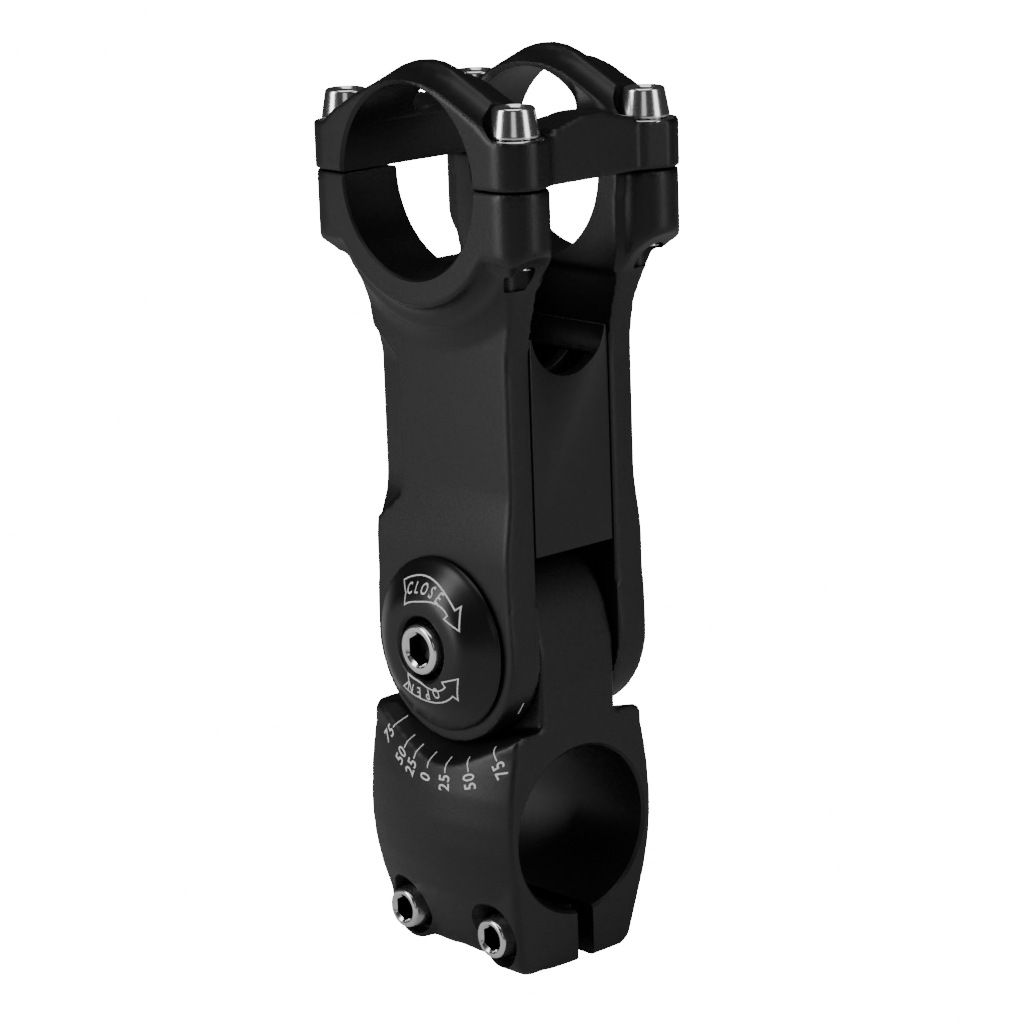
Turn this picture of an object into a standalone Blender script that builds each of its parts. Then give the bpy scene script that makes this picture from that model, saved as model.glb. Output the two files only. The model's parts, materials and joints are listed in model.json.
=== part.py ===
"""Adjustable bicycle handlebar stem.

A steerer clamp, a forked arm that tilts on a pivot bolt, and a bar clamp.

Run with: blender --background --python part.py
Metres, +Z up. The origin is the centre of the steerer bore. +X runs along the steerer tube,
+Y along the handlebar and the pivot bolt, and +Z up the arm to the handlebar.
"""
import math

import bmesh
import bpy
from mathutils import Matrix, Vector

MM = 0.001
GAP = 0.3 * MM

# Ends of cutters, well past the metal
FAR_SIDE = 30.0 * MM
FAR_ALONG = 40.0 * MM
FAR_ABOVE = 140.0 * MM
NEAR_SIDE = 24.0 * MM

# Steerer clamp
STEERER_R = 14.3 * MM
CLAMP_FRONT_X = 16.0 * MM
CLAMP_BACK_X = -20.0 * MM
CLAMP_BULGE = 0.19
SLIT_WIDTH = 3.1 * MM
CLAMP_BOTTOM_Z = -23.3 * MM
SHOULDER_Z = 19.2 * MM
CLAMP_BOLT_X = (-13.2 * MM, 9.2 * MM)
CLAMP_BOLT_Z = -17.2 * MM
CLAMP_BOLT_FACE_Y = -15.8 * MM
CLAMP_BOLT_LENGTH = 22.0 * MM
SLIT_TOP_Z = -10.0 * MM
LUG_DIP_R = 7.0 * MM
LUG_DIP_Z = -28.0 * MM
LUG_BOSS_R = 6.1 * MM
LUG_BOSS_Y = (-15.2 * MM, -4.0 * MM)
LUG_HOLE_R = 2.6 * MM
HEAD_RECESS_R = 4.9 * MM

# Pivot
PIVOT_Z = 33.0 * MM
TONGUE_R = 15.2 * MM
TONGUE_HALF = 8.5 * MM
TONGUE_INSET = 4.0 * MM
TONGUE_ROOT_Z = 8.0 * MM
TONGUE_POCKET_Y = (6.7 * MM, 12.0 * MM)
RELIEF_R = 17.0 * MM
RELIEF_EDGE = 26.0 * MM
RELIEF_FLANK = 15.0  # degrees: what is left of a right angle at the 75 degree tilt limit
PIVOT_BOLT_R = 3.0 * MM
CAP_R = 15.2 * MM
CAP_SEAT_Y = 16.0 * MM
CAP_FACE_Y = 20.7 * MM
CAP_POCKET_R = 5.3 * MM
CAP_POCKET_FLATS = 10.6 * MM
CAP_POCKET_Y = 16.3 * MM
SPIGOT_R = 6.0 * MM
SPIGOT_Y = 12.6 * MM
SPIGOT_SEAT_Y = 12.4 * MM
THRUST_SEAT_Y = 14.3 * MM
SLEEVE_R = 7.6 * MM
SLEEVE_BORE_R = 3.5 * MM
SLEEVE_HALF = 6.4 * MM
NUT_FLATS = 10.0 * MM
NUT_Y = (16.6 * MM, 20.4 * MM)
PIVOT_HEAD = (4.4 * MM, 3.7 * MM, 4.8 * MM)
PIVOT_HEAD_Y = -21.4 * MM
PIVOT_BOLT_LENGTH = 36.2 * MM
THRUST_OUTER_R = 10.0 * MM
THRUST_INNER_R = 6.4 * MM
THRUST_Y = (14.6 * MM, 15.8 * MM)
TOOTH_COUNT = 24
TOOTH_HEIGHT = 0.8 * MM
RING_OUTER_R = 12.0 * MM
RING_INNER_R = 8.2 * MM
RING_BASE = 1.1 * MM
CLAMP_RING_BACK_Y = 6.9 * MM
ARM_RING_BACK_Y = 11.1 * MM
ARM_POCKET_Y = 11.4 * MM

# Arm
CHEEK_END_R = 16.5 * MM
CHEEK_INNER_Y = 9.0 * MM
CHEEK_OUTER_Y = 13.6 * MM
PIVOT_BOSS_Y = 15.6 * MM
WEB_THICKNESS = 4.0 * MM
WEB_BOTTOM_Z = PIVOT_Z + 15.9 * MM
WEB_TOP_Z = 94.0 * MM
COVER_TOP_Z = 85.5 * MM
COVER_FRONT_X = 16.2 * MM
WEB_OUTER_X = -16.6 * MM
TROUGH_RISE = 1.0 * MM
NOTCH_R = 8.2 * MM
COVER_POCKETS = ((9.6 * MM, 13.8 * MM), (0.8 * MM, 7.4 * MM), (-9.4 * MM, -1.2 * MM))
COVER_POCKET_HALF = 6.0 * MM
COVER_FLOOR_Z = 56.0 * MM

# Bar clamp
BAR_Z = 111.2 * MM
BAR_R = 15.9 * MM
RING_OUT_Y = 19.6 * MM
RING_IN_Y = 8.0 * MM
COLLAR_R = 20.6 * MM
LID_BOLT_X = 20.6 * MM
LID_BOLT_Y = 14.4 * MM
LID_BOSS_R = 5.3 * MM
LID_SEAT_Z = 118.4 * MM
LID_SPLIT = 0.3 * MM
LID_THREAD_Z = 80.0 * MM
CREST_R = 19.3 * MM
BOSS_BOTTOM_Z = 100.5 * MM
BOSS_TOP_Z = BAR_Z + 6.0 * MM
BOSS_ROOT = 6.0 * MM
LID_HALF_X = 24.2 * MM
LID_BAR_TOP_Z = 117.4 * MM
LID_SLOPE_HALF = 3.2 * MM
ARCH_OVERRUN = 6.0  # degrees past half a turn at each end

# Fasteners
HEAD_R = 4.2 * MM
HEAD_FACE_R = 3.5 * MM
HEAD_HEIGHT = 5.0 * MM
SOCKET_DEPTH = 2.6 * MM
LID_BOLT_LENGTH = 16.0 * MM
SOCKET_FLATS = 4.0 * MM
SHANK_R = 2.4 * MM
WASHER_R = 4.9 * MM
WASHER_THICKNESS = 0.8 * MM

BLACK = ((0.018, 0.018, 0.019), 0.42, 0.35)
BLACK_PLASTIC = ((0.022, 0.022, 0.022), 0.38, 0.0)
CHROME = ((0.62, 0.62, 0.62), 0.12, 1.0)
STEEL = ((0.36, 0.36, 0.37), 0.35, 1.0)
BRONZE = ((0.42, 0.29, 0.14), 0.4, 1.0)

AXIS_TURN = {
    "X": Matrix(((0, 0, 1), (1, 0, 0), (0, 1, 0))).to_4x4(),
    "Y": Matrix(((1, 0, 0), (0, 0, 1), (0, 1, 0))).to_4x4(),
    "Z": Matrix.Identity(4),
}


def clear_scene():
    for item in list(bpy.data.objects):
        bpy.data.objects.remove(item)


def material(name, look):
    colour, roughness, metallic = look
    made = bpy.data.materials.new(name)
    made.use_nodes = True
    shader = made.node_tree.nodes["Principled BSDF"]
    shader.inputs["Base Color"].default_value = (*colour, 1)
    shader.inputs["Roughness"].default_value = roughness
    shader.inputs["Metallic"].default_value = metallic
    return made


def new_object(name, mesh_work, look=None):
    """Turns a bmesh into an object with outward normals, smooth where it is round."""
    bmesh.ops.recalc_face_normals(mesh_work, faces=mesh_work.faces)
    mesh = bpy.data.meshes.new(name)
    mesh_work.to_mesh(mesh)
    mesh_work.free()
    mesh.shade_smooth()
    mesh.set_sharp_from_angle(angle=math.radians(32))
    made = bpy.data.objects.new(name, mesh)
    bpy.context.scene.collection.objects.link(made)
    if look:
        made.data.materials.append(material(name, look))
    return made


def arc(centre, radius, start, stop, steps):
    """Points on an arc, angles in degrees, both ends included."""
    points = []
    for step in range(steps + 1):
        angle = math.radians(start + (stop - start) * step / steps)
        points.append((centre[0] + radius * math.cos(angle), centre[1] + radius * math.sin(angle)))
    return points


def loft(name, sections, look=None):
    """A closed skin through outlines that all have the same number of points."""
    work = bmesh.new()
    rings = [[work.verts.new(point) for point in section] for section in sections]
    count = len(rings[0])
    for first, second in zip(rings, rings[1:]):
        for i in range(count):
            work.faces.new((first[i], first[(i + 1) % count], second[(i + 1) % count], second[i]))
    work.faces.new(rings[0])
    work.faces.new(rings[-1])
    return new_object(name, work, look)


def prism(name, outline, axis, low, high, look=None):
    """A flat outline swept along X (outline is y, z), Y (x, z) or Z (x, y)."""
    turn = AXIS_TURN[axis]
    sections = [[turn @ Vector((a, b, level)) for a, b in outline] for level in (low, high)]
    return loft(name, sections, look)


def turned(name, profile, axis, centre, steps=32, look=None):
    """A solid of revolution. The profile is (radius, place along the axis), from end to end."""
    turn = AXIS_TURN[axis]
    sections = []
    for radius, level in profile:
        circle = arc((0, 0), radius, 0, 360 - 360 / steps, steps - 1)
        sections.append([turn @ Vector((a, b, level)) + Vector(centre) for a, b in circle])
    return loft(name, sections, look)


def rod(name, radius, axis, centre, low, high, steps=32):
    return turned(name, [(radius, low), (radius, high)], axis, centre, steps)


def box(name, low, high):
    outline = [(low[0], low[1]), (high[0], low[1]), (high[0], high[1]), (low[0], high[1])]
    return prism(name, outline, "Z", low[2], high[2])


def combine(target, tools, operation):
    for tool in tools:
        step = target.modifiers.new(operation.title() + "_" + tool.name, "BOOLEAN")
        step.operation = operation
        step.object = tool
        step.solver = "EXACT"
        tool.hide_render = True
        tool.display_type = "WIRE"


def cut(target, *tools):
    combine(target, tools, "DIFFERENCE")


def add(target, *tools):
    combine(target, tools, "UNION")


def hang_on(parent, *pieces):
    for piece in pieces:
        piece.parent = parent
        piece.matrix_parent_inverse = parent.matrix_world.inverted()


def axis_empty(name, place):
    made = bpy.data.objects.new(name, None)
    made.location = place
    bpy.context.scene.collection.objects.link(made)
    bpy.context.view_layer.update()
    return made


def hex_outline(flats, centre=(0, 0)):
    return arc(centre, flats / math.sqrt(3), 0, 300, 5)


# ---------------------------------------------------------------- steerer clamp


def clamp_outline():
    """Half of the clamp's end outline, y and z, from the bottom to the shoulder."""
    return [
        (4.0 * MM, CLAMP_BOTTOM_Z),
        (8.6 * MM, -22.5 * MM),
        (11.0 * MM, -20.8 * MM),
        (13.2 * MM, -15.0 * MM),
        (15.3 * MM, -6.5 * MM),
        (16.2 * MM, 0.0),
        (16.0 * MM, 6.0 * MM),
        (15.1 * MM, 12.5 * MM),
        (14.0 * MM, 16.8 * MM),
        (12.0 * MM, SHOULDER_Z),
        (6.0 * MM, SHOULDER_Z),
    ]


def clamp_block():
    """The barrel-shaped block round the steerer: its sides stand proud at mid length."""
    half = clamp_outline()
    middle = (CLAMP_FRONT_X + CLAMP_BACK_X) / 2
    reach = (CLAMP_FRONT_X - CLAMP_BACK_X) / 2
    stations = 8
    sections = []
    for i in range(stations + 1):
        share = -1 + 2 * i / stations
        spread = 1 + CLAMP_BULGE * (1 - share * share)
        right = [(middle + share * reach, y * spread, z) for y, z in half]
        left = [(x, -y, z) for x, y, z in reversed(right)]
        sections.append(right + left)
    return loft("steerer_clamp", sections, BLACK)


def tongue():
    """The upright that stands between the arm's two cheeks."""
    back_x = CLAMP_BACK_X + TONGUE_INSET
    outline = [(back_x, TONGUE_ROOT_Z), (CLAMP_FRONT_X, TONGUE_ROOT_Z), (CLAMP_FRONT_X, PIVOT_Z - 2 * MM)]
    outline += arc((0, PIVOT_Z), TONGUE_R, 12, 168, 20)
    outline.append((back_x, PIVOT_Z - 2 * MM))
    return prism("clamp_tongue_form", outline, "Y", -TONGUE_HALF, TONGUE_HALF)


def relief_outline():
    """The space that a cheek's end sweeps, x and z: round below, with flanks at the tilt limit."""
    rise = math.tan(math.radians(RELIEF_FLANK))
    round_end = arc((0, PIVOT_Z), RELIEF_R, 270 - RELIEF_FLANK, 270 + RELIEF_FLANK, 10)
    foot_x, foot_z = round_end[-1]
    edge_z = foot_z + (RELIEF_EDGE - foot_x) * rise
    top_z = PIVOT_Z + RELIEF_R
    return round_end + [
        (RELIEF_EDGE, edge_z),
        (RELIEF_EDGE, top_z),
        (-RELIEF_EDGE, top_z),
        (-RELIEF_EDGE, edge_z),
    ]


def steerer_clamp():
    body = clamp_block()
    bore = rod("steerer_bore_cutter", STEERER_R, "X", (0, 0, 0), -FAR_SIDE, FAR_SIDE, 48)
    slit = box(
        "slit_cutter",
        (-FAR_SIDE, -SLIT_WIDTH / 2, -FAR_SIDE),
        (FAR_SIDE, SLIT_WIDTH / 2, SLIT_TOP_Z),
    )
    middle = (CLAMP_FRONT_X + CLAMP_BACK_X) / 2
    dip = rod("lug_dip_cutter", LUG_DIP_R, "Y", (middle, 0, LUG_DIP_Z), -FAR_SIDE, FAR_SIDE)
    bosses = []
    holes = []
    for number, x in enumerate(CLAMP_BOLT_X, 1):
        centre = (x, 0, CLAMP_BOLT_Z)
        bosses.append(rod(f"lug_boss_form_{number}", LUG_BOSS_R, "Y", centre, *LUG_BOSS_Y, 20))
        floor_y = CLAMP_BOLT_FACE_Y + HEAD_HEIGHT + GAP
        recess = rod(f"head_recess_cutter_{number}", HEAD_RECESS_R, "Y", centre, -NEAR_SIDE, floor_y, 24)
        hole = rod(f"lug_hole_cutter_{number}", LUG_HOLE_R, "Y", centre, -NEAR_SIDE, NEAR_SIDE, 16)
        holes += [recess, hole]
    relief = []
    for side in (-1, 1):
        low, high = sorted((side * TONGUE_HALF, side * RELIEF_EDGE))
        relief.append(prism(f"cheek_relief_cutter_{side}", relief_outline(), "Y", low, high))
        low, high = sorted(side * y for y in TONGUE_POCKET_Y)
        pocket_r = RING_OUTER_R + GAP
        relief.append(rod(f"tongue_ring_cutter_{side}", pocket_r, "Y", (0, 0, PIVOT_Z), low, high, 32))
    through = TONGUE_POCKET_Y[1]
    sleeve_hole = rod("sleeve_hole_cutter", SLEEVE_R + GAP, "Y", (0, 0, PIVOT_Z), -through, through, 24)
    add(body, *bosses)
    cut(body, *relief[0::2])
    add(body, tongue())
    cut(body, bore, slit, dip, *holes, *relief[1::2], sleeve_hole)
    return body


def screw(name, face, axis, place, length, head=(HEAD_R, HEAD_FACE_R, HEAD_HEIGHT), shank=SHANK_R):
    """A socket screw whose tapered head ends at `face` and whose shank runs the other way.

    `face` is the head's outer end along the axis, and its sign of travel is given by `length`."""
    base_r, face_r, height = head
    step = math.copysign(1, length)
    base = face + step * height
    end = base + length
    profile = [
        (face_r - 0.5 * MM, face),
        (face_r, face + step * 0.3 * MM),
        (base_r, base - step * 0.6 * MM),
        (base_r, base),
        (shank, base),
        (shank, end - step * 0.5 * MM),
        (shank - 0.5 * MM, end),
    ]
    body = turned(name, profile, axis, place, 20, CHROME)
    low, high = sorted((face - step * 2 * MM, face + step * SOCKET_DEPTH))
    socket = prism(name + "_socket_cutter", hex_outline(SOCKET_FLATS), axis, low, high)
    socket.location = place
    cut(body, socket)
    return body


def steerer_bolts():
    made = []
    for number, x in enumerate(CLAMP_BOLT_X, 1):
        place = (x, 0, CLAMP_BOLT_Z)
        made.append(screw(f"steerer_bolt_{number}", CLAMP_BOLT_FACE_Y, "Y", place, CLAMP_BOLT_LENGTH))
    return made


# ---------------------------------------------------------------- pivot


def tooth_ring(name, back_y, outward):
    """A lock ring: a flat washer whose `outward` face carries radial V teeth."""
    work = bmesh.new()
    steps = TOOTH_COUNT * 2
    rows = []
    for i in range(steps):
        angle = 2 * math.pi * i / steps
        tip = RING_BASE + (TOOTH_HEIGHT if i % 2 else 0)
        corners = []
        for radius, level in (
            (RING_INNER_R, 0),
            (RING_INNER_R, tip),
            (RING_OUTER_R, tip),
            (RING_OUTER_R, 0),
        ):
            place = (radius * math.cos(angle), back_y + outward * level, PIVOT_Z + radius * math.sin(angle))
            corners.append(work.verts.new(place))
        rows.append(corners)
    for i, row in enumerate(rows):
        following = rows[(i + 1) % steps]
        for k in range(4):
            after = (k + 1) % 4
            work.faces.new((row[k], row[after], following[after], following[k]))
    return new_object(name, work, STEEL)


def ring_washer(name, inner, outer, axis, place, low, high, look, steps=24):
    """A flat ring."""
    work = bmesh.new()
    turn = AXIS_TURN[axis]
    rows = []
    for i in range(steps):
        angle = 2 * math.pi * i / steps
        row = []
        for radius, level in ((inner, low), (inner, high), (outer, high), (outer, low)):
            point = turn @ Vector((radius * math.cos(angle), radius * math.sin(angle), level))
            row.append(work.verts.new(point + Vector(place)))
        rows.append(row)
    for i, row in enumerate(rows):
        following = rows[(i + 1) % steps]
        for k in range(4):
            after = (k + 1) % 4
            work.faces.new((row[k], row[after], following[after], following[k]))
    return new_object(name, work, look)


def thrust_washer(name, low, high):
    return ring_washer(name, THRUST_INNER_R, THRUST_OUTER_R, "Y", (0, 0, PIVOT_Z), low, high, BRONZE)


def pivot_cap(name, side):
    """A domed cap on the outside of one cheek, with a spigot that centres it."""
    profile = [
        (SPIGOT_R, side * SPIGOT_Y),
        (SPIGOT_R, side * CAP_SEAT_Y),
        (CAP_R, side * CAP_SEAT_Y),
        (CAP_R, side * (CAP_SEAT_Y + 1.4 * MM)),
        (CAP_R - 1.3 * MM, side * (CAP_SEAT_Y + 3.5 * MM)),
        (CAP_R - 4.2 * MM, side * CAP_FACE_Y),
    ]
    body = turned(name, profile, "Y", (0, 0, PIVOT_Z), 40, BLACK)
    hole = rod(name + "_hole_cutter", PIVOT_BOLT_R + GAP, "Y", (0, 0, PIVOT_Z), -NEAR_SIDE, NEAR_SIDE, 24)
    low, high = sorted((side * CAP_POCKET_Y, side * NEAR_SIDE))
    if side < 0:
        pocket = rod(name + "_pocket_cutter", CAP_POCKET_R, "Y", (0, 0, PIVOT_Z), low, high, 32)
    else:
        pocket = prism(name + "_pocket_cutter", hex_outline(CAP_POCKET_FLATS), "Y", low, high)
        pocket.location.z = PIVOT_Z
    cut(body, hole, pocket)
    return body


def pivot_nut():
    body = prism("pivot_nut", hex_outline(NUT_FLATS), "Y", *NUT_Y, STEEL)
    for vertex in body.data.vertices:
        vertex.co.z += PIVOT_Z
    thread = rod("nut_thread_cutter", PIVOT_BOLT_R + GAP, "Y", (0, 0, PIVOT_Z), 10 * MM, NEAR_SIDE, 24)
    cut(body, thread)
    return body


def pivot_bolt():
    place = (0, 0, PIVOT_Z)
    return screw("pivot_bolt", PIVOT_HEAD_Y, "Y", place, PIVOT_BOLT_LENGTH, PIVOT_HEAD, PIVOT_BOLT_R)


# ---------------------------------------------------------------- arm


def cheek_outline():
    """The arm's side outline, x and z, from the round pivot end to the bar clamp."""
    right = [
        (16.5 * MM, 44 * MM),
        (16.4 * MM, 82 * MM),
        (17.6 * MM, 89 * MM),
        (19.5 * MM, 96 * MM),
        (19.5 * MM, BOSS_TOP_Z),
    ]
    left = [(-x, z) for x, z in reversed(right)]
    return arc((0, PIVOT_Z), CHEEK_END_R, 180, 360, 22) + right + left


def stem_arm():
    body = prism("stem_arm", cheek_outline(), "Y", -CHEEK_OUTER_Y, CHEEK_OUTER_Y, BLACK)
    boss_outline = arc((0, PIVOT_Z), CHEEK_END_R - 0.2 * MM, 180, 360, 22)
    boss_outline += [(14.5 * MM, 50 * MM), (8 * MM, 56 * MM), (-8 * MM, 56 * MM), (-14.5 * MM, 50 * MM)]
    add(body, prism("pivot_boss_form", boss_outline, "Y", -PIVOT_BOSS_Y, PIVOT_BOSS_Y))
    add(body, rod("collar_form", COLLAR_R, "Y", (0, 0, BAR_Z), -RING_OUT_Y, RING_OUT_Y, 48))
    for number, (x, y) in enumerate(lid_bolt_places(), 1):
        outline = boss_section(x, y)
        add(body, prism(f"clamp_boss_form_{number}", outline, "Z", BOSS_BOTTOM_Z, BOSS_TOP_Z))
    top = box("split_cutter", (-FAR_ALONG, -FAR_SIDE, BAR_Z), (FAR_ALONG, FAR_SIDE, FAR_ABOVE))
    ring_gap = box(
        "ring_gap_cutter",
        (-FAR_ALONG, -RING_IN_Y, WEB_TOP_Z),
        (FAR_ALONG, RING_IN_Y, FAR_ABOVE),
    )
    web_x = WEB_OUTER_X + WEB_THICKNESS
    channel = box(
        "channel_cutter",
        (web_x, -CHEEK_INNER_Y, 0),
        (FAR_ALONG, CHEEK_INNER_Y, WEB_TOP_Z + 0.5 * MM),
    )
    fork = box("fork_cutter", (-FAR_ALONG, -CHEEK_INNER_Y, 0), (FAR_ALONG, CHEEK_INNER_Y, WEB_BOTTOM_Z))
    bore = rod("bar_bore_cutter", BAR_R, "Y", (0, 0, BAR_Z), -FAR_SIDE, FAR_SIDE, 48)
    cut(body, top, ring_gap, channel, fork, bore)
    for number, (x, y) in enumerate(lid_bolt_places(), 1):
        thread_r = SHANK_R + GAP
        cut(body, rod(f"lid_thread_cutter_{number}", thread_r, "Z", (x, y, 0), LID_THREAD_Z, FAR_ABOVE, 16))
    cut_pivot_seats(body)
    return body


def cut_pivot_seats(body):
    """The pivot hole, the lock-ring pockets inside and the cap seats outside."""
    centre = (0, 0, PIVOT_Z)
    cut(body, rod("arm_pivot_cutter", PIVOT_BOLT_R + 2 * GAP, "Y", centre, -FAR_SIDE, FAR_SIDE, 24))
    cut(body, rod("arm_ring_cutter", RING_OUTER_R + GAP, "Y", centre, -ARM_POCKET_Y, ARM_POCKET_Y, 32))
    for side in (-1, 1):
        low, high = sorted((side * SPIGOT_SEAT_Y, side * FAR_SIDE))
        cut(body, rod(f"spigot_cutter_{side}", SPIGOT_R + GAP, "Y", centre, low, high, 24))
        low, high = sorted((side * THRUST_SEAT_Y, side * FAR_SIDE))
        cut(body, rod(f"thrust_cutter_{side}", THRUST_OUTER_R + GAP, "Y", centre, low, high, 24))


def channel_cover():
    """The moulded block that closes the arm's open side, with a trough across its top."""
    half = CHEEK_INNER_Y - GAP
    low_x = WEB_OUTER_X + WEB_THICKNESS + GAP
    body = box("channel_cover", (low_x, -half, WEB_BOTTOM_Z), (COVER_FRONT_X, half, COVER_TOP_Z))
    body.data.materials.append(material("channel_cover", BLACK_PLASTIC))
    trough = rod("trough_cutter", NOTCH_R, "X", (0, 0, COVER_TOP_Z + TROUGH_RISE), -FAR_SIDE, FAR_SIDE, 32)
    cut(body, trough)
    for number, (low, high) in enumerate(COVER_POCKETS, 1):
        place_low = (low, -COVER_POCKET_HALF, COVER_FLOOR_Z)
        cut(body, box(f"pocket_cutter_{number}", place_low, (high, COVER_POCKET_HALF, FAR_ABOVE)))
    return body


# ---------------------------------------------------------------- bar clamp lid


def lid_bolt_places():
    return [(x, y) for y in (-LID_BOLT_Y, LID_BOLT_Y) for x in (-LID_BOLT_X, LID_BOLT_X)]


def boss_section(x, y):
    """Plan of one bolt boss: round outside, running straight in to the bore."""
    inward = -1 if x > 0 else 1
    start = -90 if x > 0 else 90
    outline = arc((x, y), LID_BOSS_R, start, start + 180, 12)
    low, high = y - LID_BOSS_R, y + LID_BOSS_R
    ends = (high, low) if x > 0 else (low, high)
    return outline + [(x + inward * BOSS_ROOT, ends[0]), (x + inward * BOSS_ROOT, ends[1])]


def arch_section():
    """Section through one arch, as y and radius from the bar's axis."""
    return [
        (RING_IN_Y, BAR_R),
        (RING_OUT_Y, BAR_R),
        (RING_OUT_Y, 17.0 * MM),
        (15.4 * MM, CREST_R),
        (12.4 * MM, CREST_R),
        (RING_IN_Y, 18.0 * MM),
    ]


def arch(name, side):
    """Half a turn of the arch section round the bar's axis."""
    sections = []
    steps = 22
    for i in range(steps + 1):
        angle = math.radians(-ARCH_OVERRUN + (180 + 2 * ARCH_OVERRUN) * i / steps)
        section = []
        for y, radius in arch_section():
            place = (radius * math.cos(angle), side * y, BAR_Z + radius * math.sin(angle))
            section.append(place)
        sections.append(section)
    return loft(name, sections)


def faceplate():
    bottom = BAR_Z + LID_SPLIT
    forms = []
    for number, (x, y) in enumerate(lid_bolt_places(), 1):
        forms.append(prism(f"lid_boss_form_{number}", boss_section(x, y), "Z", bottom, LID_SEAT_Z))
        slope = [
            (14.4 * MM, BAR_Z + 4 * MM),
            (16.2 * MM, BAR_Z + 4 * MM),
            (16.2 * MM, 123.0 * MM),
            (12.6 * MM, 126.2 * MM),
            (9.5 * MM, 127.6 * MM),
        ]
        side = 1 if x > 0 else -1
        outline = [(side * a, b) for a, b in slope]
        low, high = (y - LID_SLOPE_HALF, y + LID_SLOPE_HALF)
        forms.append(prism(f"lid_slope_form_{number}", outline, "Y", low, high))
    body = box(
        "faceplate",
        (-LID_HALF_X, -LID_BOLT_Y, bottom),
        (LID_HALF_X, LID_BOLT_Y, LID_BAR_TOP_Z),
    )
    body.data.materials.append(material("faceplate", BLACK))
    add(body, *forms, arch("lid_arch_form_1", -1), arch("lid_arch_form_2", 1))
    base = box("lid_split_cutter", (-FAR_ALONG, -FAR_SIDE, 90 * MM), (FAR_ALONG, FAR_SIDE, bottom))
    bore = rod("lid_bore_cutter", BAR_R, "Y", (0, 0, BAR_Z), -FAR_SIDE, FAR_SIDE, 48)
    cut(body, base, bore)
    for number, (x, y) in enumerate(lid_bolt_places(), 1):
        centre = (x, y, 0)
        cut(body, rod(f"lid_hole_cutter_{number}", SHANK_R + GAP, "Z", centre, LID_THREAD_Z, FAR_ABOVE, 16))
        cut(body, rod(f"lid_seat_cutter_{number}", WASHER_R + GAP, "Z", centre, LID_SEAT_Z, FAR_ABOVE, 24))
    return body


def lid_fasteners():
    washers = []
    bolts = []
    washer_low = LID_SEAT_Z + 0.2 * MM
    head_base = washer_low + WASHER_THICKNESS + 0.1 * MM
    for number, (x, y) in enumerate(lid_bolt_places(), 1):
        place = (x, y, 0)
        washers.append(
            ring_washer(
                f"faceplate_washer_{number}",
                SHANK_R + GAP,
                WASHER_R,
                "Z",
                place,
                washer_low,
                washer_low + WASHER_THICKNESS,
                STEEL,
            )
        )
        face = head_base + HEAD_HEIGHT
        bolts.append(screw(f"faceplate_bolt_{number}", face, "Z", place, -LID_BOLT_LENGTH))
    return washers, bolts


def build():
    clear_scene()
    pivot = (0, 0, PIVOT_Z)
    tilt_axis = axis_empty("arm_tilt_axis", pivot)
    bolt_axis = axis_empty("pivot_bolt_axis", pivot)
    steerer_clamp()
    steerer_bolts()
    ring_washer("pivot_sleeve", SLEEVE_BORE_R, SLEEVE_R, "Y", pivot, -SLEEVE_HALF, SLEEVE_HALF, BRONZE)
    tooth_ring("clamp_lock_ring_left", -CLAMP_RING_BACK_Y, -1)
    tooth_ring("clamp_lock_ring_right", CLAMP_RING_BACK_Y, 1)
    inner, outer = THRUST_Y
    arm_pieces = [
        stem_arm(),
        channel_cover(),
        faceplate(),
        tooth_ring("arm_lock_ring_left", -ARM_RING_BACK_Y, 1),
        tooth_ring("arm_lock_ring_right", ARM_RING_BACK_Y, -1),
        thrust_washer("thrust_washer_left", -outer, -inner),
        thrust_washer("thrust_washer_right", inner, outer),
        pivot_cap("pivot_cap_right", 1),
        pivot_nut(),
    ]
    washers, bolts = lid_fasteners()
    hang_on(tilt_axis, *arm_pieces, *washers, *bolts)
    bpy.context.view_layer.update()
    hang_on(bolt_axis, pivot_bolt(), pivot_cap("pivot_cap_left", -1))
    hang_on(tilt_axis, bolt_axis)


build()
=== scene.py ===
"""Looks of an adjustable bicycle handlebar stem, laid out as a Blender add-on."""

import json
import math

import bmesh
import bpy
import numpy as np
from bpy.props import FloatProperty, FloatVectorProperty, IntProperty, PointerProperty
from mathutils import Matrix, Vector
from mathutils.bvhtree import BVHTree

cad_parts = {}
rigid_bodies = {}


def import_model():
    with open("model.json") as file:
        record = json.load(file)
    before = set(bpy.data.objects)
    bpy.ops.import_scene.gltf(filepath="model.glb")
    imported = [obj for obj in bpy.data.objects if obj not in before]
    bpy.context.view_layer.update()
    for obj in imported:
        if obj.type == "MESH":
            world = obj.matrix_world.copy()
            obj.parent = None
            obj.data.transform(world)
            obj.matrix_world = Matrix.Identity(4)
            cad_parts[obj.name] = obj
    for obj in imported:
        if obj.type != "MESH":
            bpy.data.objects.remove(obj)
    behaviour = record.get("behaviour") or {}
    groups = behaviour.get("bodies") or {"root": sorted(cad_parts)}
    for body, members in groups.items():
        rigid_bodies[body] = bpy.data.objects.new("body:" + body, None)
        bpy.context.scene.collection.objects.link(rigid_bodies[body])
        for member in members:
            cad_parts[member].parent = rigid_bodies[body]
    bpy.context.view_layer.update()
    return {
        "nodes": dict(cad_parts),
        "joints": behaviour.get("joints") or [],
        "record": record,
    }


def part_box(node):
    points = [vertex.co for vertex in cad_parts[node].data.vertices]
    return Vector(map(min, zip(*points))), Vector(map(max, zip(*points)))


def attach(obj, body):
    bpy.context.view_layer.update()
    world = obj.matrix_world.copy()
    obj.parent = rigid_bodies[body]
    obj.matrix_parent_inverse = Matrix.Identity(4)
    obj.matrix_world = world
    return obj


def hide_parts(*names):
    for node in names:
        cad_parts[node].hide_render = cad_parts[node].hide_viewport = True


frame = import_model()

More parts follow.
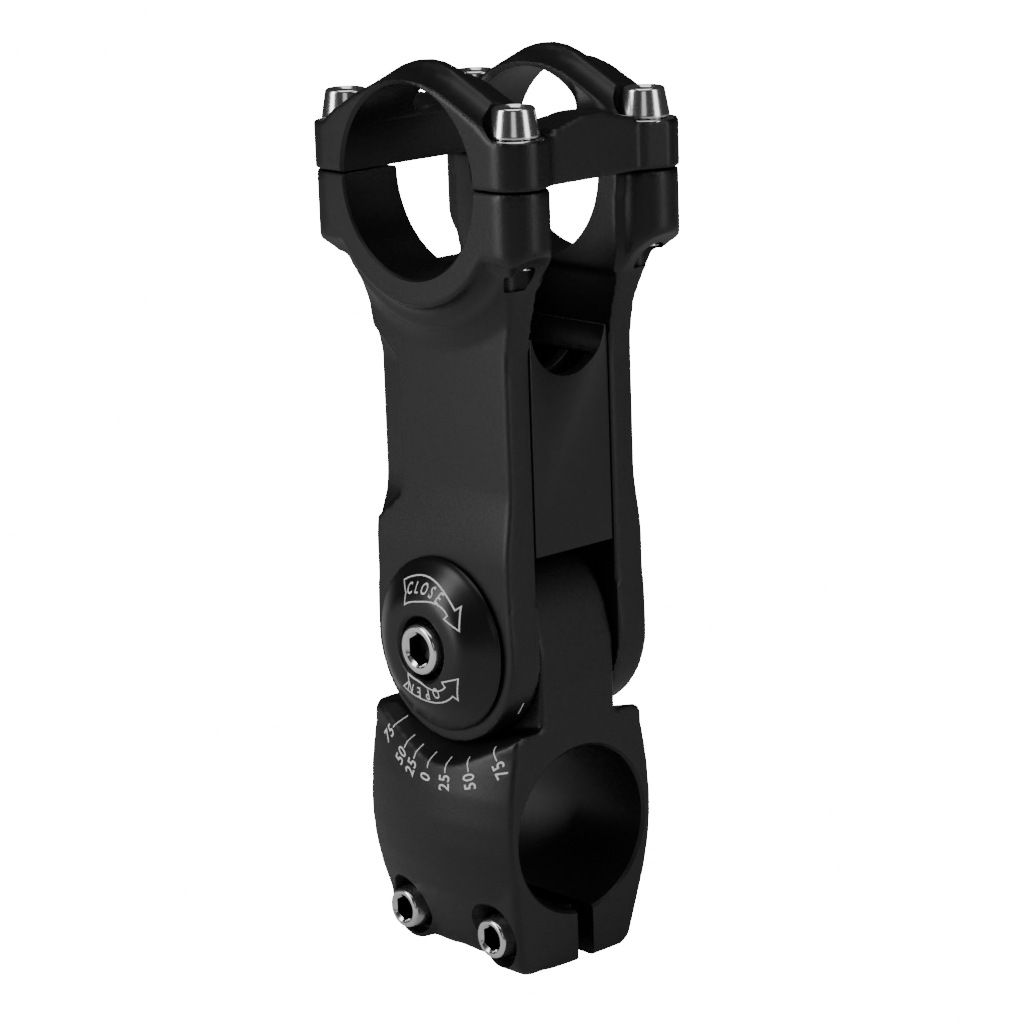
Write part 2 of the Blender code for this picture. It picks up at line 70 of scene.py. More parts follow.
bl_info = {
    "name": "Handlebar stem",
    "version": (1, 0, 0),
    "blender": (4, 5, 0),
    "location": "View3D > Sidebar > Stem",
    "description": "Builds the forged, machined and printed parts of an adjustable handlebar stem",
    "category": "Add Mesh",
}

MM = 0.001
MOUNTS = {mount["name"]: mount for mount in frame["record"]["mounts"]}
JOINTS = {joint["name"]: joint for joint in frame["joints"]}

# Places read from the frame
PIVOT_Z = JOINTS["arm_tilt"]["pos_m"][2]
CLAMP_LOW, CLAMP_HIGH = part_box("steerer_clamp")
ARM_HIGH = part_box("stem_arm")[1]
COVER_LOW, COVER_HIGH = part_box("channel_cover")
LID_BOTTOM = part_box("faceplate")[0].z
CAP_FACE = abs(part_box("pivot_cap_left")[0].y)
BAR_Z = ARM_HIGH.z
RING_Y = ARM_HIGH.y

# Ends of cutters, past the metal
FAR = 30.0 * MM
WIDE = 40.0 * MM
HIGH = 140.0 * MM
OVER = 150.0 * MM

# Bearing seats that the clamp and the arm share
RING_SEAT_R = 12.3 * MM

TURN = {
    "X": Matrix(((0, 0, 1), (1, 0, 0), (0, 1, 0))),
    "Y": Matrix(((1, 0, 0), (0, 0, 1), (0, 1, 0))),
    "Z": Matrix.Identity(3),
}


def middle(node):
    low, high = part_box(node)
    return (low + high) / 2


LID_BOLTS = [f"faceplate_bolt_{number}" for number in (1, 2, 3, 4)]
CLAMP_BOLTS = ["steerer_bolt_1", "steerer_bolt_2"]
LID_BOLT_X = abs(middle(LID_BOLTS[0]).x)
LID_BOLT_Y = abs(middle(LID_BOLTS[0]).y)
CLAMP_BOLT_Z = middle(CLAMP_BOLTS[0]).z
WASHER_SEAT_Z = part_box("faceplate_washer_1")[0].z - 0.1 * MM


def length(name, description, default):
    return FloatProperty(name=name, description=description, default=default, unit="LENGTH", precision=5)


def colour(name, description, default):
    return FloatVectorProperty(
        name=name, description=description, default=default, subtype="COLOR", size=3, min=0, max=1
    )


# ---------------------------------------------------------------- sizes and colours


class StemClampSizes(bpy.types.PropertyGroup):
    bore: length("Bore radius", "Radius of the steerer bore", MOUNTS["steerer_bore"]["dims"]["r_mm"] * MM)
    slit: length("Slit", "Width of the pinch slit", 3.6 * MM)
    bulge: FloatProperty(name="Bulge", description="How far the sides swell at mid length", default=0.19)
    tongue_r: length("Tongue radius", "Radius of the tongue's round end", 15.2 * MM)
    tongue_half: length("Tongue half width", "Half the tongue's thickness", 8.5 * MM)
    relief_r: length("Relief radius", "Radius of the hollow the cheeks turn in", 17.5 * MM)
    lobe_r: length("Screw lobe radius", "Radius of the round lobes at the pinch screws", 5.9 * MM)


class StemArmSizes(bpy.types.PropertyGroup):
    cheek_inner: length("Channel half width", "From the middle to a cheek's inner face", 9.0 * MM)
    cheek_outer: length("Cheek face", "From the middle to a cheek's outer face", 14.15 * MM)
    web: length("Web", "Thickness of the wall at the channel's back", 4.0 * MM)
    bar_bore: length("Bar bore radius", "Radius of the handlebar bore", 15.9 * MM)
    collar_r: length("Collar radius", "Radius of the ring round the handlebar", 20.6 * MM)
    ring_inner: length("Ring gap half width", "From the middle to a ring's inner face", 8.0 * MM)
    lobe_r: length("Bolt lobe radius", "Radius of the round lobes at the faceplate bolts", 5.3 * MM)


class StemLidSizes(bpy.types.PropertyGroup):
    seat_z: length("Washer seat", "Height of the washer seats", WASHER_SEAT_Z)
    seat_r: length("Seat radius", "Radius of the machined washer seats", 5.05 * MM)
    window: length("Window half length", "Half the window's length along the stem", 13.6 * MM)


class StemScrewSizes(bpy.types.PropertyGroup):
    socket: length("Socket flats", "Across the flats of the hexagon sockets", 4.0 * MM)
    pivot_socket: length("Pivot socket flats", "Across the flats of the pivot screw's socket", 5.0 * MM)
    pitch: length("Thread pitch", "Pitch of the M5 threads", 0.8 * MM)
    sides: IntProperty(name="Sides", description="Points round each screw", default=48, min=24)


class StemFinishColours(bpy.types.PropertyGroup):
    anodised: colour("Anodised", "Blasted black anodised aluminium", (0.0064, 0.0064, 0.0069))
    cap: colour("Cap", "Smooth black anodised caps", (0.0052, 0.0052, 0.0056))
    plastic: colour("Plastic", "Moulded cover", (0.0058, 0.0058, 0.0061))
    chrome: colour("Chrome", "Plated screws", (0.9, 0.9, 0.91))
    steel: colour("Steel", "Plain steel pieces", (0.36, 0.36, 0.37))
    # Painted shade: a dark steel laid inside the sockets and on the pinch screws' shanks, where shade falls
    oiled: colour("Painted shade steel", "Shaded steel inside the sockets and on the shanks", (0.045, 0.045, 0.047))
    bronze: colour("Bronze", "Bearing pieces", (0.42, 0.29, 0.14))
    ink: colour("Ink", "Printed marks", (0.95, 0.95, 0.94))


class StemStudioSettings(bpy.types.PropertyGroup):
    floor: colour("Floor", "Colour of the floor", (0.9, 0.9, 0.9))
    side_light: FloatProperty(name="Side light", description="Power of the side lights", default=0.4)
    surround: FloatProperty(name="Surround", description="Brightness of the room", default=0.034)


# ---------------------------------------------------------------- shapes


def new_object(name, data):
    made = bpy.data.objects.new(name, data)
    bpy.context.scene.collection.objects.link(made)
    return made


def new_piece(name, work):
    """Turns a bmesh into an object with its faces pointing out."""
    bmesh.ops.recalc_face_normals(work, faces=work.faces)
    mesh = bpy.data.meshes.new(name)
    work.to_mesh(mesh)
    work.free()
    return new_object(name, mesh)


def arc(centre, radius, start, stop, steps):
    """Points on an arc, angles in degrees, both ends included."""
    points = []
    for step in range(steps + 1):
        angle = math.radians(start + (stop - start) * step / steps)
        points.append((centre[0] + radius * math.cos(angle), centre[1] + radius * math.sin(angle)))
    return points


def loft(name, sections, ring=False):
    """A closed skin through outlines of one point count: capped, or joined round if `ring`."""
    work = bmesh.new()
    rows = [[work.verts.new(point) for point in section] for section in sections]
    count = len(rows[0])
    pairs = list(zip(rows, rows[1:]))
    if ring:
        pairs.append((rows[-1], rows[0]))
    for first, second in pairs:
        for i in range(count):
            after = (i + 1) % count
            work.faces.new((first[i], first[after], second[after], second[i]))
    if not ring:
        work.faces.new(rows[0])
        work.faces.new(rows[-1])
    return new_piece(name, work)


def prism(name, outline, axis, low, high):
    """A flat outline swept along X (outline is y, z), Y (x, z) or Z (x, y)."""
    turn = TURN[axis]
    return loft(name, [[turn @ Vector((a, b, level)) for a, b in outline] for level in (low, high)])


def turned(name, profile, axis, centre=(0, 0, 0), steps=96, ring=False):
    """A solid of revolution. The profile is (radius, place along the axis)."""
    turn = TURN[axis]
    circle = arc((0, 0), 1, 0, 360 - 360 / steps, steps - 1)
    sections = []
    for radius, level in profile:
        section = [turn @ Vector((a * radius, b * radius, level)) + Vector(centre) for a, b in circle]
        sections.append(section)
    return loft(name, sections, ring)


def rod(name, radius, axis, centre, low, high, steps=96):
    return turned(name, [(radius, low), (radius, high)], axis, centre, steps)


def bore(name, radius, axis, centre, low, high, chamfer=0.4 * MM):
    """A cutter for a drilled hole from `low` to `high`, flared where it leaves the metal."""
    reach = 3 * MM
    profile = [
        (radius + chamfer + reach, low - reach),
        (radius, low + chamfer),
        (radius, high - chamfer),
        (radius + chamfer + reach, high + reach),
    ]
    return turned(name, profile, axis, centre)


def block(name, low, high):
    outline = [(low[0], low[1]), (high[0], low[1]), (high[0], high[1]), (low[0], high[1])]
    return prism(name, outline, "Z", low[2], high[2])


def settle(piece):
    """Applies every modifier on a piece."""
    bpy.context.view_layer.update()
    graph = bpy.context.evaluated_depsgraph_get()
    mesh = bpy.data.meshes.new_from_object(piece.evaluated_get(graph))
    spent = piece.data
    piece.modifiers.clear()
    piece.data = mesh
    bpy.data.meshes.remove(spent)
    return piece


def work_with(piece, tools, operation, solver="EXACT"):
    """Joins, cuts or trims a piece with tools, which are used up."""
    for tool in tools:
        step = piece.modifiers.new(tool.name, "BOOLEAN")
        step.operation = operation
        step.object = tool
        step.solver = solver
    settle(piece)
    for tool in tools:
        bpy.data.objects.remove(tool)
    if not piece.data.polygons:
        raise RuntimeError(f"{piece.name} lost its surface in a {operation} step")
    return piece


def add(piece, *tools):
    return work_with(piece, tools, "UNION")


def cut(piece, *tools):
    return work_with(piece, tools, "DIFFERENCE")


def trim(piece, *tools):
    return work_with(piece, tools, "INTERSECT")


def machine(piece, *tools):
    """Crisp cuts in a dense forged piece."""
    return work_with(piece, tools, "DIFFERENCE", "MANIFOLD")


def forge(piece, grain=0.45 * MM, passes=8):
    """Gives a rough form the flowing surface and rounded edges of a forging."""
    remesh = piece.modifiers.new("Grain", "REMESH")
    remesh.mode = "VOXEL"
    remesh.voxel_size = grain
    soften = piece.modifiers.new("Soften", "SMOOTH")
    soften.factor = 0.5
    soften.iterations = passes
    return settle(piece)


def sculpt(piece, move):
    """Passes every vertex through `move`, which takes and returns arrays of x, y and z."""
    count = len(piece.data.vertices)
    places = np.empty(count * 3)
    piece.data.vertices.foreach_get("co", places)
    places = places.reshape(count, 3)
    moved = np.stack(move(*places.T), axis=1)
    piece.data.vertices.foreach_set("co", moved.ravel())
    piece.data.update()
    return piece


def blend(value, start, stop):
    """0 before start, 1 after stop, and smooth between them; start may be above stop."""
    share = np.clip((value - start) / (stop - start), 0, 1)
    return share * share * (3 - 2 * share)


def finish(piece, body, look, replaced=(), sharp=34):
    piece.data.shade_smooth()
    piece.data.set_sharp_from_angle(angle=math.radians(sharp))
    piece.data.materials.clear()
    piece.data.materials.append(look)
    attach(piece, body)
    if replaced:
        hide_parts(*replaced)
    return piece


# ---------------------------------------------------------------- materials


def new_group(name, inputs, outputs):
    """An empty node group with its sockets, and the nodes they come in and go out by."""
    group = bpy.data.node_groups.new(name, "ShaderNodeTree")
    for socket, kind, default in inputs:
        made = group.interface.new_socket(name=socket, in_out="INPUT", socket_type=kind)
        made.default_value = default
    for socket, kind in outputs:
        group.interface.new_socket(name=socket, in_out="OUTPUT", socket_type=kind)
    return group, group.nodes.new("NodeGroupInput"), group.nodes.new("NodeGroupOutput")


def new_node(tree, kind, values=None, **settings):
    """A node with its settings made, and its unlinked inputs set by name or number."""
    node = tree.nodes.new(kind)
    for setting, value in settings.items():
        setattr(node, setting, value)
    for socket, value in (values or {}).items():
        node.inputs[socket].default_value = value
    return node


def wire(tree, *runs):
    """Links nodes; each run is (node, output, node, input)."""
    for source, output, target, socket in runs:
        tree.links.new(source.outputs[output], target.inputs[socket])


def fine_grain_group():
    """Grain of a blasted or moulded surface: a height, and a roughness that wanders a little."""
    group = bpy.data.node_groups.get("Fine grain")
    if group:
        return group
    number = "NodeSocketFloat"
    group, inlet, outlet = new_group(
        "Fine grain",
        [("Grain size", number, 2500.0), ("Roughness", number, 0.4), ("Variation", number, 0.06)],
        [("Roughness", number), ("Height", number)],
    )
    place = new_node(group, "ShaderNodeTexCoord")
    grain = new_node(group, "ShaderNodeTexNoise", {"Detail": 3.0})
    patch = new_node(group, "ShaderNodeTexNoise", {"Scale": 90.0, "Detail": 4.0})
    centred = new_node(group, "ShaderNodeMath", {1: 0.5}, operation="SUBTRACT")
    spread = new_node(group, "ShaderNodeMath", operation="MULTIPLY_ADD")
    wire(
        group,
        (place, "Object", grain, "Vector"),
        (place, "Object", patch, "Vector"),
        (inlet, "Grain size", grain, "Scale"),
        (patch, "Fac", centred, 0),
        (centred, 0, spread, 0),
        (inlet, "Variation", spread, 1),
        (inlet, "Roughness", spread, 2),
        (spread, 0, outlet, "Roughness"),
        (grain, "Fac", outlet, "Height"),
    )
    return group


def dust_group():
    """Sparse pale specks over a base colour."""
    group = bpy.data.node_groups.get("Dust specks")
    if group:
        return group
    group, inlet, outlet = new_group(
        "Dust specks",
        [("Base", "NodeSocketColor", (0.01, 0.01, 0.01, 1)), ("Amount", "NodeSocketFloat", 0.5)],
        [("Colour", "NodeSocketColor")],
    )
    place = new_node(group, "ShaderNodeTexCoord")
    cells = new_node(group, "ShaderNodeTexVoronoi", {"Scale": 420.0})
    speck = new_node(group, "ShaderNodeMapRange", {"From Min": 0.055, "From Max": 0.02})
    where = new_node(group, "ShaderNodeTexNoise", {"Scale": 55.0})
    patch = new_node(group, "ShaderNodeMapRange", {"From Min": 0.5, "From Max": 0.75})
    both = new_node(group, "ShaderNodeMath", operation="MULTIPLY")
    share = new_node(group, "ShaderNodeMath", operation="MULTIPLY")
    mix = new_node(group, "ShaderNodeMix", data_type="RGBA")
    mix.inputs["B"].default_value = (0.09, 0.09, 0.09, 1)
    wire(
        group,
        (place, "Object", cells, "Vector"),
        (place, "Object", where, "Vector"),
        (cells, "Distance", speck, "Value"),
        (where, "Fac", patch, "Value"),
        (speck, "Result", both, 0),
        (patch, "Result", both, 1),
        (both, 0, share, 0),
        (inlet, "Amount", share, 1),
        (share, 0, mix, "Factor"),
        (inlet, "Base", mix, "A"),
        (mix, "Result", outlet, "Colour"),
    )
    return group


GRAIN_DEPTH = 0.05 * MM


def tint(name):
    return getattr(bpy.context.scene.stem_finish, name)


def surface(name, base, roughness, metallic, grain, bump, variation=0.06, dust=0.0):
    """A material of a plain metal or plastic with grain, and dust where it is asked for."""
    look = bpy.data.materials.get(name)
    if look:
        return look
    look = bpy.data.materials.new(name)
    look.use_nodes = True
    tree = look.node_tree
    shader = tree.nodes["Principled BSDF"]
    shader.inputs["Metallic"].default_value = metallic
    texture = {"Grain size": grain, "Roughness": roughness, "Variation": variation}
    grains = new_node(tree, "ShaderNodeGroup", texture, node_tree=fine_grain_group())
    relief = new_node(tree, "ShaderNodeBump", {"Strength": bump, "Distance": GRAIN_DEPTH})
    dusting = {"Base": (*base, 1), "Amount": dust}
    specks = new_node(tree, "ShaderNodeGroup", dusting, node_tree=dust_group())
    wire(
        tree,
        (grains, "Roughness", shader, "Roughness"),
        (grains, "Height", relief, "Height"),
        (relief, "Normal", shader, "Normal"),
        (specks, "Colour", shader, "Base Color"),
    )
    return look


def anodised():
    return surface("Blasted black anodised", tint("anodised"), 0.38, 0.0, 2600, 0.35, 0.08, 0.5)


def as_forged():
    return surface("As-forged black", tint("anodised"), 0.5, 0.0, 1100, 1.0, 0.12, 0.8)


# Painted shade: dark steel for the socket hollows and the pinch screws' shanks, standing in for the shade
# that falls there
def socket_black():
    return surface("Painted socket shade steel", tint("oiled"), 0.45, 1.0, 1500, 0.2, 0.1)


def smooth_cap():
    return surface("Smooth black anodised", tint("cap"), 0.3, 0.0, 3200, 0.1, 0.05, 0.6)


def plastic():
    return surface("Moulded black plastic", tint("plastic"), 0.36, 0.0, 1800, 0.12, 0.05, 0.4)


def chrome():
    return surface("Chrome plate", tint("chrome"), 0.19, 1.0, 900, 0.05, 0.06)


def plain_steel():
    return surface("Plain steel", tint("steel"), 0.33, 1.0, 1500, 0.2, 0.1)


def bronze():
    return surface("Bearing bronze", tint("bronze"), 0.4, 1.0, 1500, 0.2, 0.1)


def ink():
    return surface("White ink", tint("ink"), 0.5, 0.0, 3000, 0.2, 0.1)


# ---------------------------------------------------------------- steerer clamp


CLAMP_FLANK = (
    (12.6, -15.6), (14.4, -10.5), (15.5, -6.0), (16.1, -1.5),
    (16.15, 3.0), (15.8, 8.0), (15.1, 12.6), (14.5, 15.6),
)
TONGUE_INSET = 4.0 * MM
TONGUE_ROOT_Z = 8.0 * MM
NEAR_LOBE_Y = (-13.4 * MM, -2.0 * MM)
FAR_LOBE_Y = (2.0 * MM, 12.5 * MM)
LUG_SECTIONS = (
    (6.5 * MM, 0.9 * MM), (8.5 * MM, 0), (14.6 * MM, 0), (15.6 * MM, 0.4 * MM), (CLAMP_HIGH.x, 1.2 * MM),
)
LUG_FLANK = ((15.3, -15.4), (15.7, -11.0), (16.0, -3.0))
LUG_REACH = 4.0 * MM
LUG_CORNER = 3.0 * MM
DIP_R = 7.0 * MM
DIP_DROP = 5.8 * MM
SLIT_TOP = -10.0 * MM
HEAD_DEPTH = 5.3 * MM
HEAD_SEAT = ((6.6, -17.0), (5.0, -13.2), (4.85, -12.9))
PINCH_HOLE_R = 2.45 * MM
SLEEVE_HOLE_R = 7.9 * MM
TONGUE_SEAT_Y = (6.7 * MM, 12.0 * MM)
FLARE_NEAR = (11.4 * MM, -1.2 * MM)
FLARE_FAR = (25.0 * MM, 8.0 * MM)


def clamp_half_outline():
    """Half of the clamp's end outline, y and z, from the bottom to the shoulder."""
    bottom = CLAMP_LOW.z
    points = [(3.0 * MM, bottom), (7.4 * MM, bottom + 0.1 * MM)]
    points += arc((7.6 * MM, bottom + 3.4 * MM), 3.3 * MM, -80, -15, 4)
    points += [(y * MM, z * MM) for y, z in CLAMP_FLANK]
    points += arc((12.4 * MM, 17.1 * MM), 2.1 * MM, 0, 90, 5)
    points.append((6.0 * MM, 19.2 * MM))
    return points


def clamp_barrel(sizes):
    half = clamp_half_outline()
    centre = (CLAMP_HIGH.x + CLAMP_LOW.x) / 2
    reach = (CLAMP_HIGH.x - CLAMP_LOW.x) / 2
    stations = 24
    sections = []
    for i in range(stations + 1):
        share = -1 + 2 * i / stations
        spread = 1 + sizes.bulge * (1 - share * share)
        right = [(centre + share * reach, y * spread, z) for y, z in half]
        left = [(x, -y, z) for x, y, z in reversed(right)]
        sections.append(right + left)
    return loft("forged_clamp", sections)


def tongue(sizes):
    back, front = CLAMP_LOW.x + TONGUE_INSET, CLAMP_HIGH.x
    side_top = PIVOT_Z - 1 * MM
    outline = [(back, TONGUE_ROOT_Z), (front, TONGUE_ROOT_Z), (front, side_top)]
    outline += arc((0, PIVOT_Z), sizes.tongue_r, 14, 166, 40)
    outline.append((back, side_top))
    return prism("tongue_form", outline, "Y", -sizes.tongue_half, sizes.tongue_half)


def relief_outline(radius, flank=15.0, edge=27 * MM):
    """What a cheek's end sweeps, x and z: round below, with flanks at the tilt limit."""
    round_end = arc((0, PIVOT_Z), radius, 270 - flank, 270 + flank, 16)
    foot_x, foot_z = round_end[-1]
    edge_z = foot_z + (edge - foot_x) * math.tan(math.radians(flank))
    top = PIVOT_Z + radius
    return round_end + [(edge, edge_z), (edge, top), (-edge, top), (-edge, edge_z)]


def relief_cutters(sizes):
    """The hollows that the cheeks turn in, with a flare that rounds their outer edge."""
    cutters = []
    for side in (-1, 1):
        low, high = sorted((side * sizes.tongue_half, side * FAR))
        cutters.append(prism(f"relief_cutter_{side}", relief_outline(sizes.relief_r), "Y", low, high))
        flare = []
        for y, spread in (FLARE_NEAR, FLARE_FAR):
            flare.append([(x, side * y, z) for x, z in relief_outline(sizes.relief_r + spread)])
        cutters.append(loft(f"relief_flare_cutter_{side}", flare))
    return cutters


def front_lug():
    """The square lug beside the front pinch screw, with its edges eased at both ends."""
    low = CLAMP_LOW.z
    sections = []
    for x, inset in LUG_SECTIONS:
        outline = [(-LUG_REACH, low + inset)]
        outline += arc((-12.0 * MM, low + LUG_CORNER), LUG_CORNER - inset, 268, 185, 6)
        outline += [(inset - y * MM, z * MM) for y, z in LUG_FLANK]
        outline.append((-LUG_REACH, 0))
        sections.append([(x, y, z) for y, z in outline])
    return loft("front_lug_form", sections)


def forged_clamp(sizes):
    body = clamp_barrel(sizes)
    lobes = []
    for node in CLAMP_BOLTS:
        centre = (middle(node).x, 0, CLAMP_BOLT_Z)
        lobes.append(rod(node + "_lobe", sizes.lobe_r, "Y", centre, *NEAR_LOBE_Y, 64))
        lobes.append(rod(node + "_far_lobe", sizes.lobe_r - 0.2 * MM, "Y", centre, *FAR_LOBE_Y, 64))
    add(body, *lobes, front_lug())
    cut(body, *relief_cutters(sizes))
    add(body, tongue(sizes))
    dip_centre = ((CLAMP_HIGH.x + CLAMP_LOW.x) / 2, 0, CLAMP_LOW.z - DIP_DROP)
    cut(body, rod("lobe_dip_cutter", DIP_R, "Y", dip_centre, -FAR, FAR))
    forge(body)
    tools = [bore("steerer_cutter", sizes.bore, "X", (0, 0, 0), CLAMP_LOW.x, CLAMP_HIGH.x, 0.5 * MM)]
    half = sizes.slit / 2
    tools.append(block("slit_cutter", (-FAR, -half, -FAR), (FAR, half, SLIT_TOP)))
    for node in CLAMP_BOLTS:
        centre = (middle(node).x, 0, CLAMP_BOLT_Z)
        seat = [(radius * MM, y * MM) for radius, y in HEAD_SEAT]
        seat.append((seat[-1][0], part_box(node)[0].y + HEAD_DEPTH))
        tools.append(turned(node + "_seat_cutter", seat, "Y", centre))
        tools.append(rod(node + "_hole_cutter", PINCH_HOLE_R, "Y", centre, -20 * MM, 25 * MM, 48))
    pivot = (0, 0, PIVOT_Z)
    through = TONGUE_SEAT_Y[1]
    tools.append(rod("sleeve_cutter", SLEEVE_HOLE_R, "Y", pivot, -through, through))
    for side in (-1, 1):
        low, high = sorted(side * y for y in TONGUE_SEAT_Y)
        tools.append(rod(f"ring_seat_cutter_{side}", RING_SEAT_R, "Y", pivot, low, high))
    return machine(body, *tools)


def roughen_tongue(body, radius):
    """Leaves the as-forged skin on the faces round the pivot."""
    body.data.materials.append(as_forged())
    for face in body.data.polygons:
        place = face.center
        if place.z > 0 and math.hypot(place.x, place.z - PIVOT_Z) < radius:
            face.material_index = 1


class STEM_OT_clamp(bpy.types.Operator):
    """Forge and machine the steerer clamp with its tongue"""

    bl_idname = "stem.clamp"
    bl_label = "Steerer clamp"

    def execute(self, context):
        body = forged_clamp(context.scene.stem_clamp)
        finish(body, "clamp", anodised(), ["steerer_clamp"])
        roughen_tongue(body, context.scene.stem_clamp.relief_r + 0.3 * MM)
        return {"FINISHED"}


# ---------------------------------------------------------------- arm


ARM_FLANK = ((16.5, 44), (16.4, 80), (16.7, 84.5), (17.6, 89), (19.0, 94), (20.0, 98))
CHEEK_END_R = 17.0 * MM
NECK_X = 16.95 * MM
LOBE_ROOT = 6.0 * MM
LOBE_FOOT_Z = 85.0 * MM
LOBE_TOP_Z = BAR_Z + 6.0 * MM
SWEEP_R = 22.0 * MM
SWEEP_CENTRE = (37.8 * MM, 82.6 * MM)
TUCK_R = 16.6 * MM
TUCK_CENTRE = (30.5 * MM, 87.9 * MM)
COLLAR_STEP = (
    (12.0, 18.6), (21.0, 18.2), (21.6, 17.4), (22.6, 16.8), (24.3, 16.4),
    (25.0, 15.6), (26.4, 14.8), (28.6, 13.9), (31.0, 13.2), (31.0, 10.0),
)
HALF_WIDTH = 17.0 * MM
WEB_BACK_X = -16.6 * MM
CHANNEL_TOP_Z = 94.5 * MM
RING_GAP_Z = 94.0 * MM
TAP_R = 2.55 * MM
TAP_FOOT_Z = 94.6 * MM
PIVOT_HOLE_R = 3.6 * MM
ARM_SEAT_Y = 11.4 * MM
CAP_SEATS = (("spigot", 6.3 * MM, 12.4 * MM), ("thrust", 10.3 * MM, 14.3 * MM))


def cheek_outline():
    """The arm's side outline, x and z, from the round pivot end to the bar clamp."""
    right = [(x * MM, z * MM) for x, z in ARM_FLANK]
    right.append((20.4 * MM, LOBE_TOP_Z))
    left = [(-x, z) for x, z in reversed(right)]
    neck_z = PIVOT_Z + 2 * MM
    round_end = arc((0, PIVOT_Z), CHEEK_END_R, 180, 360, 48)
    return round_end + [(NECK_X, neck_z)] + right + left + [(-NECK_X, neck_z)]


def bolt_places():
    return [(x, y) for y in (-LID_BOLT_Y, LID_BOLT_Y) for x in (-LID_BOLT_X, LID_BOLT_X)]


def lobe_plan(x, y, radius):
    """Plan of one bolt lobe: round outside, running straight in towards the bore."""
    inward = -1 if x > 0 else 1
    start = -90 if x > 0 else 90
    outline = arc((x, y), radius, start, start + 180, 24)
    ends = (y + radius, y - radius) if x > 0 else (y - radius, y + radius)
    root_x = x + inward * LOBE_ROOT
    return outline + [(root_x, end) for end in ends]


def arm_lobe(number, x, y, radius):
    """A bolt lobe whose underside sweeps in to the cheek in a hollow curve."""
    form = prism(f"arm_lobe_{number}", lobe_plan(x, y, radius), "Z", LOBE_FOOT_Z, LOBE_TOP_Z)
    sweep_x, sweep_z = SWEEP_CENTRE
    tuck_y, tuck_z = TUCK_CENTRE
    sweep_centre = (math.copysign(sweep_x, x), 0, sweep_z)
    tuck_centre = (0, math.copysign(tuck_y, y), tuck_z)
    sweep = rod(f"sweep_cutter_{number}", SWEEP_R, "Y", sweep_centre, -WIDE, WIDE, 128)
    tuck = rod(f"tuck_cutter_{number}", TUCK_R, "X", tuck_centre, -WIDE, WIDE, 128)
    return cut(form, sweep, tuck)


def collar_step(side, outline):
    """The stepped fillet that carries the collar down on to a cheek."""
    profile = [(radius * MM, side * y * MM) for radius, y in COLLAR_STEP]
    form = turned(f"collar_step_{side}", profile, "Y", (0, 0, BAR_Z))
    return trim(form, prism(f"collar_trim_{side}", outline, "Y", -FAR, FAR))


def shape_cheeks(sizes):
    """Crowned outer faces, thick at the pivot, with a sloped band along the back edge."""

    def move(x, y, z):
        reach = np.abs(y)
        outside = blend(reach, sizes.cheek_inner + 1.2 * MM, sizes.cheek_outer - 0.2 * MM)
        below_collar = blend(z, 97 * MM, 84 * MM)
        pivot_rise = 1.4 * MM * blend(z, 61 * MM, 48 * MM)
        crown = 0.35 * MM * blend(z, 48 * MM, 60 * MM) * np.clip(1 - (x / HALF_WIDTH) ** 2, 0, 1)
        ends = 2 - blend(z, 50 * MM, 58 * MM) - blend(z, 87 * MM, 79 * MM)
        edge = -10.4 * MM - 7.0 * MM * ends
        step = 0.6 * MM * blend(x, edge, edge - 0.7 * MM)
        slope = 0.95 * MM * np.clip((edge - x) / (5.5 * MM), 0, 1)
        lift = (pivot_rise + crown - step - slope) * outside * below_collar
        return x, y + np.sign(y) * lift, z

    return move


def forged_arm(sizes):
    outline = cheek_outline()
    body = prism("forged_arm", outline, "Y", -sizes.cheek_outer, sizes.cheek_outer)
    forms = [rod("collar_form", sizes.collar_r, "Y", (0, 0, BAR_Z), -RING_Y, RING_Y, 128)]
    forms += [collar_step(side, outline) for side in (-1, 1)]
    forms += [arm_lobe(number, x, y, sizes.lobe_r) for number, (x, y) in enumerate(bolt_places(), 1)]
    add(body, *forms)
    split = block("split_cutter", (-WIDE, -FAR, BAR_Z), (WIDE, FAR, OVER))
    gap = block("ring_gap_cutter", (-WIDE, -sizes.ring_inner, RING_GAP_Z), (WIDE, sizes.ring_inner, HIGH))
    web_x, cheek = WEB_BACK_X + sizes.web, sizes.cheek_inner
    channel = block("channel_cutter", (web_x, -cheek, 0), (WIDE, cheek, CHANNEL_TOP_Z))
    fork = block("fork_cutter", (-WIDE, -cheek, 0), (WIDE, cheek, COVER_LOW.z))
    cut(body, split, gap, channel, fork)
    forge(body)
    sculpt(body, shape_cheeks(sizes))
    tools = [bore("bar_cutter", sizes.bar_bore, "Y", (0, 0, BAR_Z), -RING_Y, RING_Y, 0.35 * MM)]
    for node in LID_BOLTS:
        place = middle(node)
        tap_top = BAR_Z + 4 * MM
        tools.append(rod(node + "_hole", TAP_R, "Z", (place.x, place.y, 0), TAP_FOOT_Z, tap_top, 48))
    pivot = (0, 0, PIVOT_Z)
    tools.append(rod("pivot_cutter", PIVOT_HOLE_R, "Y", pivot, -FAR, FAR))
    tools.append(rod("ring_seat_cutter", RING_SEAT_R, "Y", pivot, -ARM_SEAT_Y, ARM_SEAT_Y))
    for side in (-1, 1):
        for label, radius, floor in CAP_SEATS:
            low, high = sorted((side * floor, side * FAR))
            tools.append(rod(f"{label}_cutter_{side}", radius, "Y", pivot, low, high))
    return machine(body, *tools)


class STEM_OT_arm(bpy.types.Operator):
    """Forge and machine the forked arm with the lower half of the bar clamp"""

    bl_idname = "stem.arm"
    bl_label = "Arm"

    def execute(self, context):
        body = forged_arm(context.scene.stem_arm)
        finish(body, "arm", anodised(), ["stem_arm"])
        return {"FINISHED"}


# ---------------------------------------------------------------- screws


